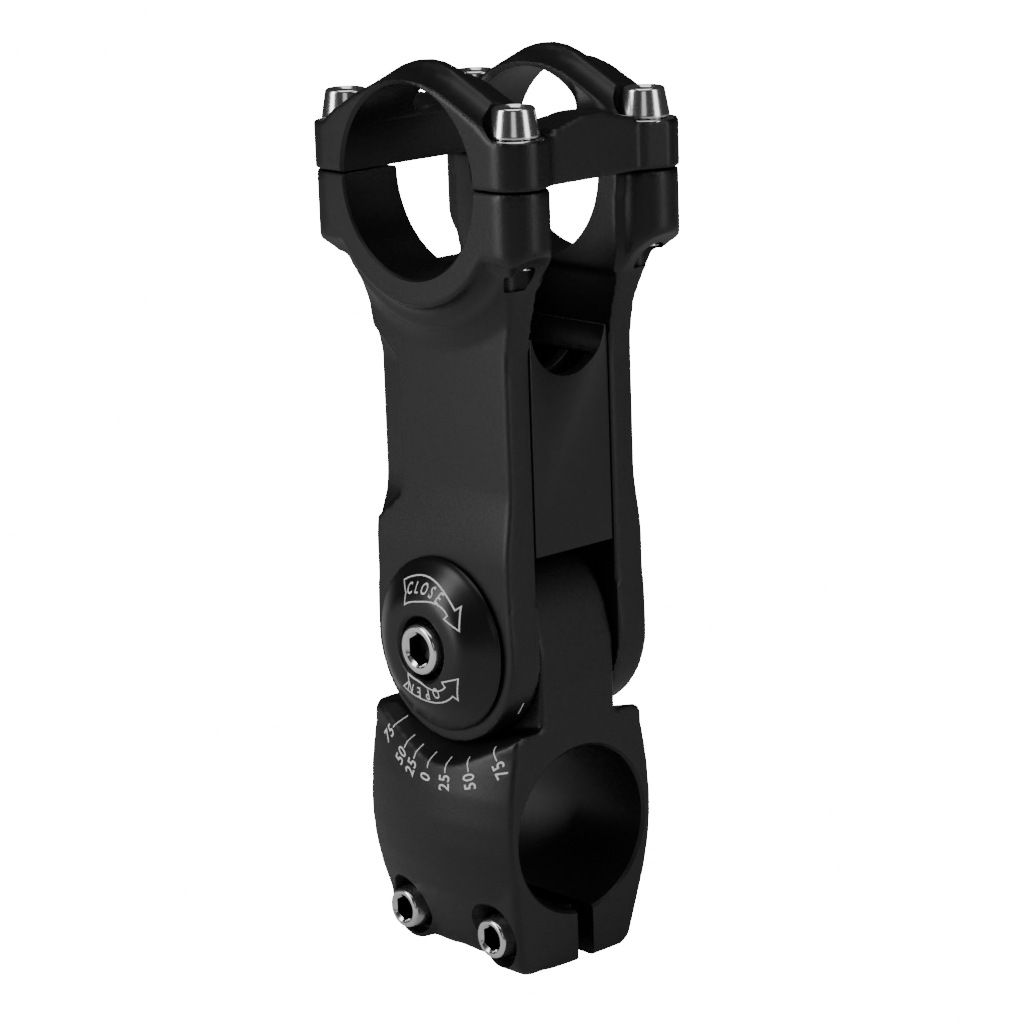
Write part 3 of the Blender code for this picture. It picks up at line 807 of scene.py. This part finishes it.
SOCKET_TIP = 3.5 * MM
SOCKET_STEPS = (2.9 * MM, 2.8 * MM, 0.45 * MM)
SOCKET_CHAMFER = 0.12 * MM
HEAD_ROUND = 0.55 * MM
HEAD_FOOT = ((0.05, 0.75), (0.0, 0.45), (0.06, 0.12), (0.3, 0.0))
THREAD_DEPTH = 0.4 * MM
M5_HEAD = (4.15 * MM, 3.45 * MM, 5.0 * MM)
M5_SHANK_R = 2.38 * MM
PIVOT_HEAD = (5.0 * MM, 4.3 * MM, 4.8 * MM)
PIVOT_SHANK_R = 2.98 * MM
PIVOT_PITCH = 1.0 * MM
LID_SCREW_TIP = 5.2 * MM


def socket_screw(name, centre, axis, face, direction, head, shank_r, shank_end, sizes, pitch, flats):
    """A tapered socket head with its hexagon, and a threaded shank.

    `head` is (base radius, face radius, height); `direction` is +1 where the shank runs up the axis."""
    turn = TURN[axis]
    base_r, face_r, height = head
    count = sizes.sides
    half_flat = flats / 2
    mouth = half_flat / math.cos(math.radians(30)) + SOCKET_CHAMFER

    def spot(angle, radius, depth):
        place = Vector((radius * math.cos(angle), radius * math.sin(angle), face + direction * depth))
        return turn @ place + Vector(centre)

    def ring(radius, depth, hexagon=False):
        points = []
        for i in range(count):
            angle = 2 * math.pi * i / count
            lean = (angle + math.pi / 6) % (math.pi / 3) - math.pi / 6 if hexagon else 0
            points.append(spot(angle, radius / math.cos(lean), depth))
        return points

    rings = [ring(0.25 * MM, SOCKET_TIP)]
    rings += [ring(half_flat, depth, True) for depth in SOCKET_STEPS]
    rings += [ring(mouth, 0.1 * MM), ring(mouth + SOCKET_CHAMFER, 0.0), ring(face_r - HEAD_ROUND, 0.0)]
    for step in range(1, 5):
        angle = math.radians(22.5 * step)
        radius = face_r - HEAD_ROUND * (1 - math.sin(angle))
        rings.append(ring(radius, HEAD_ROUND * (1 - math.cos(angle))))
    rings += [ring(base_r - inset * MM, height - rise * MM) for inset, rise in HEAD_FOOT]
    rings.append(ring(shank_r - 0.02 * MM, height))
    shank_length = abs(shank_end - face) - height
    rows = int(shank_length / pitch * 6)
    for row in range(1, rows):
        depth = height + shank_length * row / rows
        points = []
        for i in range(count):
            share = i / count
            groove = abs(2 * ((depth / pitch - share) % 1.0) - 1)
            taper = min(1.0, (rows - row) / 5)
            radius = shank_r - THREAD_DEPTH * groove * min(1.0, row / 4) - THREAD_DEPTH * (1 - taper)
            points.append(spot(2 * math.pi * share, radius, depth))
        rings.append(points)
    return loft(name, rings)


# Bands counted from the socket's tip: the first SOCKET_RINGS of them, and from HEAD_RINGS on a pinch
# screw's shank, take the painted shade steel
SOCKET_RINGS = 3
HEAD_RINGS = 16


def screw_for(node, name, axis, body, head, shank_r, sizes, pitch=None, flats=None):
    """A detailed screw in the place of a CAD screw, whose box gives its head and its tip."""
    low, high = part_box(node)
    centre = middle(node)
    if axis == "Y":
        face, tip, direction = low.y, high.y, 1
        centre.y = 0
    else:
        face, tip, direction = high.z, low.z - LID_SCREW_TIP, -1
        centre.z = 0
    pitch, flats = pitch or sizes.pitch, flats or sizes.socket
    made = socket_screw(name, centre, axis, face, direction, head, shank_r, tip, sizes, pitch, flats)
    finish(made, body, chrome(), [node], 30)
    # A second slot of dark steel paints the shade in the socket, and on a pinch screw's shank
    made.data.materials.append(socket_black())
    faces = made.data.polygons
    shaded = [*range(SOCKET_RINGS * sizes.sides), len(faces) - 2]
    if axis == "Y":
        shaded += range(HEAD_RINGS * sizes.sides, len(faces) - 2)
    for number in shaded:
        faces[number].material_index = 1
    return made


def washer(name, node, body, look, axis="Z", edge=0.18 * MM):
    """A flat ring with rounded rims in the place of a CAD washer."""
    low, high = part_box(node)
    place = middle(node)
    outer = (high.x - low.x) / 2
    inner = 2.6 * MM if axis == "Z" else 6.4 * MM
    start, stop = (low.z, high.z) if axis == "Z" else (low.y, high.y)
    centre = (place.x, place.y, 0) if axis == "Z" else (place.x, 0, place.z)
    profile = [
        (inner, start + edge), (inner + edge, start), (outer - edge, start), (outer, start + edge),
        (outer, stop - edge), (outer - edge, stop), (inner + edge, stop), (inner, stop - edge),
    ]
    made = turned(name, profile, axis, centre, 64, ring=True)
    return finish(made, body, look, [node], 50)


class STEM_OT_screws(bpy.types.Operator):
    """Turn the socket screws and their washers"""

    bl_idname = "stem.screws"
    bl_label = "Screws and washers"

    def execute(self, context):
        sizes = context.scene.stem_screws
        for number, node in enumerate(LID_BOLTS, 1):
            screw_for(node, f"lid_screw_{number}", "Z", "arm", M5_HEAD, M5_SHANK_R, sizes)
            washer(f"lid_washer_{number}", f"faceplate_washer_{number}", "arm", chrome())
        for number, node in enumerate(CLAMP_BOLTS, 1):
            screw_for(node, f"pinch_screw_{number}", "Y", "clamp", M5_HEAD, M5_SHANK_R, sizes)
        thread = (sizes, PIVOT_PITCH, sizes.pivot_socket)
        screw_for("pivot_bolt", "pivot_screw", "Y", "bolt", PIVOT_HEAD, PIVOT_SHANK_R, *thread)
        return {"FINISHED"}


# ---------------------------------------------------------------- channel cover


TROUGH_R = 8.2 * MM
POCKETS = ((9.6, 13.8), (0.8, 7.4), (-9.4, -1.2))
POCKET_HALF = 6.0 * MM
POCKET_FOOT_Z = 56.0 * MM


def moulded_cover():
    low, high = COVER_LOW, COVER_HIGH
    body = block("moulded_cover", low, high)
    trough = rod("trough_cutter", TROUGH_R, "X", (0, 0, high.z + 1.0 * MM), -FAR, FAR, 128)
    pockets = []
    for number, (start, stop) in enumerate(POCKETS, 1):
        corners = (start * MM, -POCKET_HALF, POCKET_FOOT_Z), (stop * MM, POCKET_HALF, 100 * MM)
        pockets.append(block(f"pocket_cutter_{number}", *corners))
    cut(body, trough, *pockets)
    edge = body.modifiers.new("Moulded edges", "BEVEL")
    edge.width = 0.35 * MM
    edge.segments = 3
    edge.limit_method = "ANGLE"
    edge.angle_limit = math.radians(40)
    return settle(body)


class STEM_OT_cover(bpy.types.Operator):
    """Mould the cover that closes the arm's open side"""

    bl_idname = "stem.cover"
    bl_label = "Channel cover"

    def execute(self, context):
        finish(moulded_cover(), "arm", plastic(), ["channel_cover"])
        return {"FINISHED"}


# ---------------------------------------------------------------- faceplate


def along(points, value):
    """Height on a smooth symmetrical curve through a few points, at a distance from the middle."""
    places = np.array([point[0] for point in points]) * MM
    heights = np.array([point[1] for point in points]) * MM
    return np.interp(np.abs(value), places, heights)


LIP = ((0, 128.0), (4, 127.7), (7.7, 126.7), (12.5, 124.5), (17.4, 122.0), (20.8, 119.4), (27, 119.3))
CREST = (
    (0, 130.5), (3, 130.2), (6, 129.3), (9, 127.9),
    (12.6, 126.2), (17.5, 123.7), (21.0, 119.6), (27, 119.3),
)
BAR_TOP = ((0, 121.0), (14, 121.0), (15.5, 121.3), (17, 122.0), (23.4, 122.1), (27, 121.8))
BAR_EDGE = 9.4 * MM
COVE = 4.3 * MM
RIM_INSET = 0.6 * MM
ARCH_INNER = 8.0 * MM
DROOP = 1.6 * MM
LID_GRID = (27 * MM, 21 * MM)
LID_STEP = 0.5 * MM
LID_HOLE_R = 2.75 * MM


def lid_top(x, y):
    """Height of the faceplate's top: two ridged arches, and a low bar along each side."""
    reach = abs(y)
    outer = min(max((RING_Y - RIM_INSET - reach) / COVE, 0), 1)
    inner = min(max((reach - ARCH_INNER) / COVE, 0), 1)
    rise = 1 - math.sqrt(1 - min(outer, inner) ** 2)
    low, high = along(LIP, x), along(CREST, x)
    arch = low + (high - low) * rise
    bar = along(BAR_TOP, x) - DROOP * blend(reach, 1.0 * MM, BAR_EDGE)
    if reach < ARCH_INNER:
        fillet = max(0, (reach - 3.0 * MM) / (5.0 * MM)) ** 2.6
        return bar + max(0, low - bar) * fillet
    return max(arch, bar) if reach < BAR_EDGE else arch


def lid_plan(half_width=24.0 * MM, lobe=5.5 * MM):
    """Plan of the faceplate: round corners at the bolts, and sides set back between them."""
    corner = arc((LID_BOLT_X, LID_BOLT_Y), lobe, 0, 90, 12)
    back = [(half_width, LID_BOLT_Y - lobe + 0.6 * MM), (half_width + 0.7 * MM, LID_BOLT_Y - 3.6 * MM)]
    quarter = back + corner
    top = quarter + [(-x, y) for x, y in reversed(quarter)]
    return top + [(-x, -y) for x, y in top]


def rounded_window(half_x, half_y, radius):
    outline = []
    for start, sx, sy in ((0, 1, 1), (90, -1, 1), (180, -1, -1), (270, 1, -1)):
        outline += arc((sx * (half_x - radius), sy * (half_y - radius)), radius, start, start + 90, 8)
    return outline


def forged_lid(sizes, arm_sizes):
    bottom = LID_BOTTOM
    xs, ys = [np.arange(-reach, reach + LID_STEP / 2, LID_STEP) for reach in LID_GRID]
    work = bmesh.new()
    tops = [[work.verts.new((x, y, lid_top(x, y))) for y in ys] for x in xs]
    lows = [[work.verts.new((x, y, bottom)) for y in ys] for x in xs]
    for i in range(len(xs) - 1):
        for j in range(len(ys) - 1):
            work.faces.new((tops[i][j], tops[i + 1][j], tops[i + 1][j + 1], tops[i][j + 1]))
            work.faces.new((lows[i][j], lows[i][j + 1], lows[i + 1][j + 1], lows[i + 1][j]))
    for i in range(len(xs) - 1):
        for j in (0, len(ys) - 1):
            work.faces.new((tops[i][j], tops[i + 1][j], lows[i + 1][j], lows[i][j]))
    for j in range(len(ys) - 1):
        for i in (0, len(xs) - 1):
            work.faces.new((tops[i][j], tops[i][j + 1], lows[i][j + 1], lows[i][j]))
    body = new_piece("forged_lid", work)
    trim(body, prism("lid_plan_form", lid_plan(), "Z", bottom - 5 * MM, HIGH))
    window = rounded_window(sizes.window, arm_sizes.ring_inner, 4.0 * MM)
    cut(body, prism("window_cutter", window, "Z", 90 * MM, OVER))
    forge(body, 0.35 * MM, 4)
    tools = [bore("lid_bore_cutter", arm_sizes.bar_bore, "Y", (0, 0, BAR_Z), -RING_Y, RING_Y, 0.35 * MM)]
    for node in LID_BOLTS:
        centre = (middle(node).x, middle(node).y, 0)
        tools.append(rod(node + "_seat_cutter", sizes.seat_r, "Z", centre, sizes.seat_z, HIGH))
        tools.append(rod(node + "_hole_cutter", LID_HOLE_R, "Z", centre, 100 * MM, HIGH, 48))
    return machine(body, *tools)


class STEM_OT_lid(bpy.types.Operator):
    """Forge and machine the bar clamp's faceplate"""

    bl_idname = "stem.lid"
    bl_label = "Faceplate"

    def execute(self, context):
        body = forged_lid(context.scene.stem_lid, context.scene.stem_arm)
        finish(body, "arm", anodised(), ["faceplate"])
        return {"FINISHED"}


# ---------------------------------------------------------------- pivot caps


DOME = (
    (14.5, 16.0), (14.9, 16.05), (14.9, 16.3), (14.45, 16.85), (13.5, 17.55),
    (12.4, 18.4), (11.0, 19.4), (9.6, 20.25), (8.0, 20.65), (5.7, 20.7),
)


SPIGOT = ((6.0, 12.6), (6.0, 16.0))
SCREW_RECESS = ((5.35, 16.4), (5.35, 19.9), (5.5, 20.3), (5.8, 20.6), (6.3, 20.8))
NUT_FLAT = 5.3 * MM
NUT_FLOOR = 16.4 * MM
CAP_HOLE_R = 3.3 * MM
CAP_OUT = 24.0 * MM


def eased(points, rounds=2):
    """Cuts the corners of an open line again and again, keeping its ends."""
    for _ in range(rounds):
        softer = [points[0]]
        for (ax, ay), (bx, by) in zip(points, points[1:]):
            softer.append((0.75 * ax + 0.25 * bx, 0.75 * ay + 0.25 * by))
            softer.append((0.25 * ax + 0.75 * bx, 0.25 * ay + 0.75 * by))
        points = softer + [points[-1]]
    return points


def domed_cap(name, side):
    """A turned cap: a spigot, a seat, a rounded rim and a shallow dome with a screw recess."""
    pivot = (0, 0, PIVOT_Z)
    profile = [(radius * MM, level * MM) for radius, level in SPIGOT]
    profile += eased([(radius * MM, level * MM) for radius, level in DOME])
    profile[-1] = (DOME[-1][0] * MM, CAP_FACE)
    body = turned(name, [(radius, side * level) for radius, level in profile], "Y", pivot, 128)
    tools = [rod(name + "_hole", CAP_HOLE_R, "Y", pivot, -CAP_OUT, CAP_OUT)]
    if side < 0:
        flare = [(radius * MM, side * level * MM) for radius, level in SCREW_RECESS]
        tools.append(turned(name + "_recess", flare, "Y", pivot))
    else:
        corner_r = NUT_FLAT / math.cos(math.radians(30))
        outline = [(x, z + PIVOT_Z) for x, z in arc((0, 0), corner_r, 0, 300, 5)]
        tools.append(prism(name + "_recess", outline, "Y", NUT_FLOOR, CAP_OUT))
    return cut(body, *tools)


class STEM_OT_caps(bpy.types.Operator):
    """Turn the two domed pivot caps and give the nut, rings and bearings their finishes"""

    bl_idname = "stem.caps"
    bl_label = "Pivot caps and bearings"

    def execute(self, context):
        finish(domed_cap("domed_cap_left", -1), "cap", smooth_cap(), ["pivot_cap_left"])
        finish(domed_cap("domed_cap_right", 1), "arm", smooth_cap(), ["pivot_cap_right"])
        looks = {
            "pivot_nut": plain_steel,
            "clamp_lock_ring_left": plain_steel,
            "clamp_lock_ring_right": plain_steel,
            "arm_lock_ring_left": plain_steel,
            "arm_lock_ring_right": plain_steel,
            "pivot_sleeve": bronze,
            "thrust_washer_left": bronze,
            "thrust_washer_right": bronze,
        }
        for node, look in looks.items():
            item = frame["nodes"][node]
            item.data.materials.clear()
            item.data.materials.append(look())
        return {"FINISHED"}


# ---------------------------------------------------------------- printed marks


INK_STEP = 0.35 * MM
INK_START = 60 * MM
INK_PROUD = 0.035 * MM
INK_FILM = 0.03 * MM
LINE = 0.24 * MM


def ribbon(work, points, width, closed=False):
    """A thin flat line through points (x, z), added to a bmesh on a plane in front of the part."""
    count = len(points)
    edges = []
    for i, point in enumerate(points):
        before = points[(i - 1) % count] if closed or i else point
        after = points[(i + 1) % count] if closed or i < count - 1 else point
        incoming = Vector(point) - Vector(before)
        outgoing = Vector(after) - Vector(point)
        incoming = incoming.normalized() if incoming.length else outgoing.normalized()
        outgoing = outgoing.normalized() if outgoing.length else incoming
        along_line = (incoming + outgoing).normalized()
        normal = Vector((-along_line.y, along_line.x))
        stretch = 1 / max(0.45, normal.dot(Vector((-outgoing.y, outgoing.x))))
        offset = normal * (width / 2 * stretch)
        edges.append((Vector(point) + offset, Vector(point) - offset))
    rows = [[work.verts.new((p.x, 0, p.y)) for p in pair] for pair in edges]
    pairs = list(zip(rows, rows[1:])) + ([(rows[-1], rows[0])] if closed else [])
    for first, second in pairs:
        work.faces.new((first[0], first[1], second[1], second[0]))


def glyph(work, character, size, place, up, narrow=1.0):
    """Adds one flat character, standing at `place` (x, z) with its top towards `up`."""
    curve = bpy.data.curves.new("glyph", "FONT")
    curve.body = character
    curve.size = size
    curve.align_x = "CENTER"
    curve.align_y = "CENTER"
    curve.resolution_u = 6
    curve.offset = size * 0.012
    item = new_object("glyph", curve)
    bpy.context.view_layer.update()
    mesh = bpy.data.meshes.new_from_object(item.evaluated_get(bpy.context.evaluated_depsgraph_get()))
    up = Vector(up).normalized()
    right = Vector((up.y, -up.x))
    for vertex in mesh.vertices:
        flat = Vector(place) + right * vertex.co.x * narrow + up * vertex.co.y
        vertex.co = (flat.x, 0, flat.y)
    work.from_mesh(mesh)
    bpy.data.objects.remove(item)
    bpy.data.curves.remove(curve)
    bpy.data.meshes.remove(mesh)


def printed(name, work, target, body, way=(0, 1, 0)):
    """Lays flat marks on the face the way they are pressed, a hair proud, and gives them thickness."""
    for _ in range(3):
        long = [edge for edge in work.edges if edge.calc_length() > INK_STEP]
        if long:
            bmesh.ops.subdivide_edges(work, edges=long, cuts=1)
    bmesh.ops.triangulate(work, faces=work.faces)
    bpy.context.view_layer.update()
    tree = BVHTree.FromObject(target, bpy.context.evaluated_depsgraph_get())
    for vertex in work.verts:
        start = vertex.co - Vector(way) * INK_START
        hit = tree.ray_cast(start, Vector(way))
        if hit[0] is None:
            raise RuntimeError(f"{name} runs off its surface")
        vertex.co = hit[0] + hit[1] * INK_PROUD
    mesh = bpy.data.meshes.new(name)
    work.to_mesh(mesh)
    work.free()
    piece = new_object(name, mesh)
    film = piece.modifiers.new("Film", "SOLIDIFY")
    film.thickness = INK_FILM
    settle(piece)
    return finish(piece, body, ink(), (), 60)


SCALE_ANGLES = (-37.5, -24.8, -16.4, -6.4, 5.0, 18.6, 34.4)
SCALE_DEGREES = (75, 50, 25, 0, 25, 50, 75)
SCALE_LINE = 0.26 * MM
TICK_START = 19.5
TICK_LENGTH = 2.4
LABEL_R = 23.5 * MM
LABEL_STEP = 1.5 * MM
LABEL_SIZE = 3.4 * MM
LABEL_NARROW = 0.78


def scale_point(angle, radius):
    """A point on the tilt scale, angles in degrees from straight down towards +X."""
    turn = math.radians(angle)
    return (radius * math.sin(turn), PIVOT_Z - radius * math.cos(turn))


def scale_marks():
    """Seven ticks, each with its number of degrees read towards the pivot."""
    work = bmesh.new()
    for angle, degrees in zip(SCALE_ANGLES, SCALE_DEGREES):
        points = [scale_point(angle, (TICK_START + TICK_LENGTH * i / 8) * MM) for i in range(9)]
        ribbon(work, points, SCALE_LINE)
        label = str(degrees)
        towards = Vector(scale_point(angle, 1)) - Vector(scale_point(angle, 2))
        up = Vector((-towards.y, towards.x))
        for i, character in enumerate(label):
            radius = LABEL_R + (len(label) - 1) * LABEL_STEP / 2 - i * LABEL_STEP
            glyph(work, character, LABEL_SIZE, scale_point(angle, radius), up, LABEL_NARROW)
    return work


CLOCK_Z = PIVOT_Z + 0.9 * MM
WORDS = (("CLOSE", -19.0, 11.3, 9.35 * MM), ("OPEN", 157, 14.5, 8.5 * MM))
WORD_SIZE = 2.6 * MM
WORD_NARROW = 0.74
POINTER_Y = -11.3 * MM
POINTER_TOP = 24.4
POINTER_STEP = 0.3


def clock(angle, radius):
    """A point on the cap's print, angles in degrees clockwise from the top."""
    turn = math.radians(angle)
    return (radius * math.sin(turn), CLOCK_Z + radius * math.cos(turn))


def banner(work, tail, neck, tip, barb, notch):
    """A curved arrow as one closed line. Each place is (angle, inner radius, outer radius) in mm."""
    steps = 14
    inner, outer = [], []
    for i in range(steps + 1):
        share = i / steps
        angle = tail[0] + (neck[0] - tail[0]) * share
        narrowing = blend(share, 0.3, 0.95)
        inner.append(clock(angle, (tail[1] + (neck[1] - tail[1]) * narrowing) * MM))
        outer.append(clock(angle, (tail[2] + (neck[2] - tail[2]) * narrowing) * MM))
    head = [clock(neck[0], barb[1] * MM), clock(tip[0], tip[1] * MM), clock(neck[0], barb[0] * MM)]
    ribbon(work, outer + head + inner[::-1] + [clock(notch[0], notch[1] * MM)], LINE, closed=True)


def cap_marks():
    """Curved arrows that show which way the pivot screw closes and opens."""
    work = bmesh.new()
    banner(work, (-31, 7.2, 11.3), (48, 8.9, 10.3), (67.5, 9.8), (8.0, 11.3), (-25, 8.9))
    banner(work, (211, 6.7, 9.6), (138, 8.6, 10.5), (117, 9.8), (7.6, 11.4), (205, 7.9))
    for word, start, step, radius in WORDS:
        for i, character in enumerate(word):
            angle = start + step * i
            place = clock(angle, radius)
            up = Vector(place) - Vector((0, CLOCK_Z))
            glyph(work, character, WORD_SIZE, place, up, WORD_NARROW)
    return work


class STEM_OT_marks(bpy.types.Operator):
    """Print the tilt scale, its pointer and the arrows on the cap"""

    bl_idname = "stem.marks"
    bl_label = "Printed marks"

    def execute(self, context):
        objects = context.scene.objects
        printed("tilt_scale", scale_marks(), objects["forged_clamp"], "clamp")
        printed("cap_arrows", cap_marks(), objects["domed_cap_left"], "cap")
        work = bmesh.new()
        ribbon(work, [(POINTER_Y, (POINTER_TOP - POINTER_STEP * i) * MM) for i in range(8)], LINE)
        work.transform(Matrix.Rotation(math.radians(90), 4, "Z"))
        printed("tilt_pointer", work, objects["forged_arm"], "arm", (-1, 0, 0))
        return {"FINISHED"}


# ---------------------------------------------------------------- stage


def lamp(name, place, size, power):
    light = bpy.data.lights.new(name, "AREA")
    light.shape = "RECTANGLE"
    light.size, light.size_y = size
    light.energy = power
    item = new_object(name, light)
    item.location = place
    item.rotation_euler = (Vector(AIM) - Vector(place)).to_track_quat("-Z", "Y").to_euler()


CAMERA_TURN = (47.925, 13.839, -2.002)
CAMERA_DISTANCE = 622.2 * MM
CAMERA_AIM = (0.644 * MM, 52.56 * MM)
CAMERA_LENS = 129.62
AIM = (0, 0, 0.05)
WHITE = (1, 1, 1, 1)
GLOW = 30.0


def studio_camera():
    """A long lens, a little above the part, turned to its corner."""
    azimuth, elevation, roll = [math.radians(angle) for angle in CAMERA_TURN]
    level = math.cos(elevation)
    back = Vector((math.sin(azimuth) * level, -math.cos(azimuth) * level, math.sin(elevation)))
    right = Vector((math.cos(azimuth), math.sin(azimuth), 0))
    up = back.cross(right)
    across = right * math.cos(roll) + up * math.sin(roll)
    upward = -right * math.sin(roll) + up * math.cos(roll)
    target = right * CAMERA_AIM[0] + Vector((0, 0, CAMERA_AIM[1]))
    lens = bpy.data.cameras.new("studio_camera")
    lens.lens = CAMERA_LENS
    lens.sensor_width = 36
    lens.clip_start = 0.05
    item = new_object("studio_camera", lens)
    facing = Matrix((across, upward, back)).transposed().to_4x4()
    item.matrix_world = Matrix.Translation(target + back * CAMERA_DISTANCE) @ facing
    bpy.context.scene.camera = item


def studio_world(surround):
    """A white room to the eye, and a dim one to the part."""
    world = bpy.data.worlds.new("Studio")
    bpy.context.scene.world = world
    world.use_nodes = True
    tree = world.node_tree
    seen = tree.nodes["Background"]
    seen.inputs["Color"].default_value = WHITE
    seen.inputs["Strength"].default_value = GLOW
    room = new_node(tree, "ShaderNodeBackground", {"Color": WHITE, "Strength": surround})
    ray = new_node(tree, "ShaderNodeLightPath")
    mix = new_node(tree, "ShaderNodeMixShader")
    wire(
        tree,
        (ray, "Is Camera Ray", mix, "Fac"),
        (room, 0, mix, 1),
        (seen, 0, mix, 2),
        (mix, 0, tree.nodes["World Output"], "Surface"),
    )


def studio_floor(pale):
    reach = 3.0
    work = bmesh.new()
    level = CLAMP_LOW.z - 0.3 * MM
    corners = [(-reach, -reach), (reach, -reach), (reach, reach), (-reach, reach)]
    work.faces.new([work.verts.new((x, y, level)) for x, y in corners])
    floor = new_piece("studio_floor", work)
    look = bpy.data.materials.new("Studio floor")
    look.use_nodes = True
    tree = look.node_tree
    shader = tree.nodes["Principled BSDF"]
    shader.inputs["Roughness"].default_value = 0.7
    shader.inputs["Specular IOR Level"].default_value = 0.1
    cloud = new_node(tree, "ShaderNodeTexNoise", {"Scale": 3.0})
    ramp = new_node(tree, "ShaderNodeMapRange", {"To Min": pale[0] * 0.985, "To Max": pale[0]})
    glow = new_node(tree, "ShaderNodeEmission", {"Strength": GLOW})
    ray = new_node(tree, "ShaderNodeLightPath")
    share = new_node(tree, "ShaderNodeMath", {1: 0.82}, operation="MULTIPLY")
    mix = new_node(tree, "ShaderNodeMixShader")
    wire(
        tree,
        (cloud, "Fac", ramp, "Value"),
        (ramp, "Result", shader, "Base Color"),
        (ray, "Is Camera Ray", share, 0),
        (share, 0, mix, "Fac"),
        (shader, 0, mix, 1),
        (glow, 0, mix, 2),
        (mix, 0, tree.nodes["Material Output"], "Surface"),
    )
    floor.data.materials.append(look)


class STEM_OT_stage(bpy.types.Operator):
    """Set up the pale floor, the soft lights and the camera"""

    bl_idname = "stem.stage"
    bl_label = "Stage"

    def execute(self, context):
        studio = context.scene.stem_studio
        power = studio.side_light
        lamp("left_softbox", (-0.38, -0.76, 0.32), (0.3, 0.9), 11 * power)
        lamp("right_softbox", (0.8, 0.25, 0.3), (0.3, 0.8), 5 * power)
        lamp("top_softbox", (0.1, -0.1, 0.9), (0.7, 0.7), 6 * power)
        lamp("front_fill", (0.75, -0.75, 0.35), (0.35, 0.35), 0.7 * power)
        studio_world(studio.surround)
        studio_floor(studio.floor)
        studio_camera()
        return {"FINISHED"}


# ---------------------------------------------------------------- add-on


OPERATORS = (
    STEM_OT_stage,
    STEM_OT_clamp,
    STEM_OT_arm,
    STEM_OT_cover,
    STEM_OT_lid,
    STEM_OT_screws,
    STEM_OT_caps,
    STEM_OT_marks,
)
SETTINGS = {
    "stem_clamp": StemClampSizes,
    "stem_arm": StemArmSizes,
    "stem_lid": StemLidSizes,
    "stem_screws": StemScrewSizes,
    "stem_finish": StemFinishColours,
    "stem_studio": StemStudioSettings,
}


class STEM_PT_panel(bpy.types.Panel):
    bl_label = "Handlebar stem"
    bl_idname = "STEM_PT_panel"
    bl_space_type = "VIEW_3D"
    bl_region_type = "UI"
    bl_category = "Stem"

    def draw(self, context):
        for operator in OPERATORS:
            self.layout.operator(operator.bl_idname)


def register():
    for group in SETTINGS.values():
        bpy.utils.register_class(group)
    for name, group in SETTINGS.items():
        setattr(bpy.types.Scene, name, PointerProperty(type=group))
    for item in (*OPERATORS, STEM_PT_panel):
        bpy.utils.register_class(item)


def unregister():
    for item in (STEM_PT_panel, *reversed(OPERATORS)):
        bpy.utils.unregister_class(item)
    for name, group in SETTINGS.items():
        delattr(bpy.types.Scene, name)
        bpy.utils.unregister_class(group)


def main():
    register()
    bpy.ops.stem.stage()
    bpy.ops.stem.clamp()
    bpy.ops.stem.arm()
    bpy.ops.stem.cover()
    bpy.ops.stem.lid()
    bpy.ops.stem.screws()
    bpy.ops.stem.caps()
    bpy.ops.stem.marks()


if __name__ == "__main__":
    main()
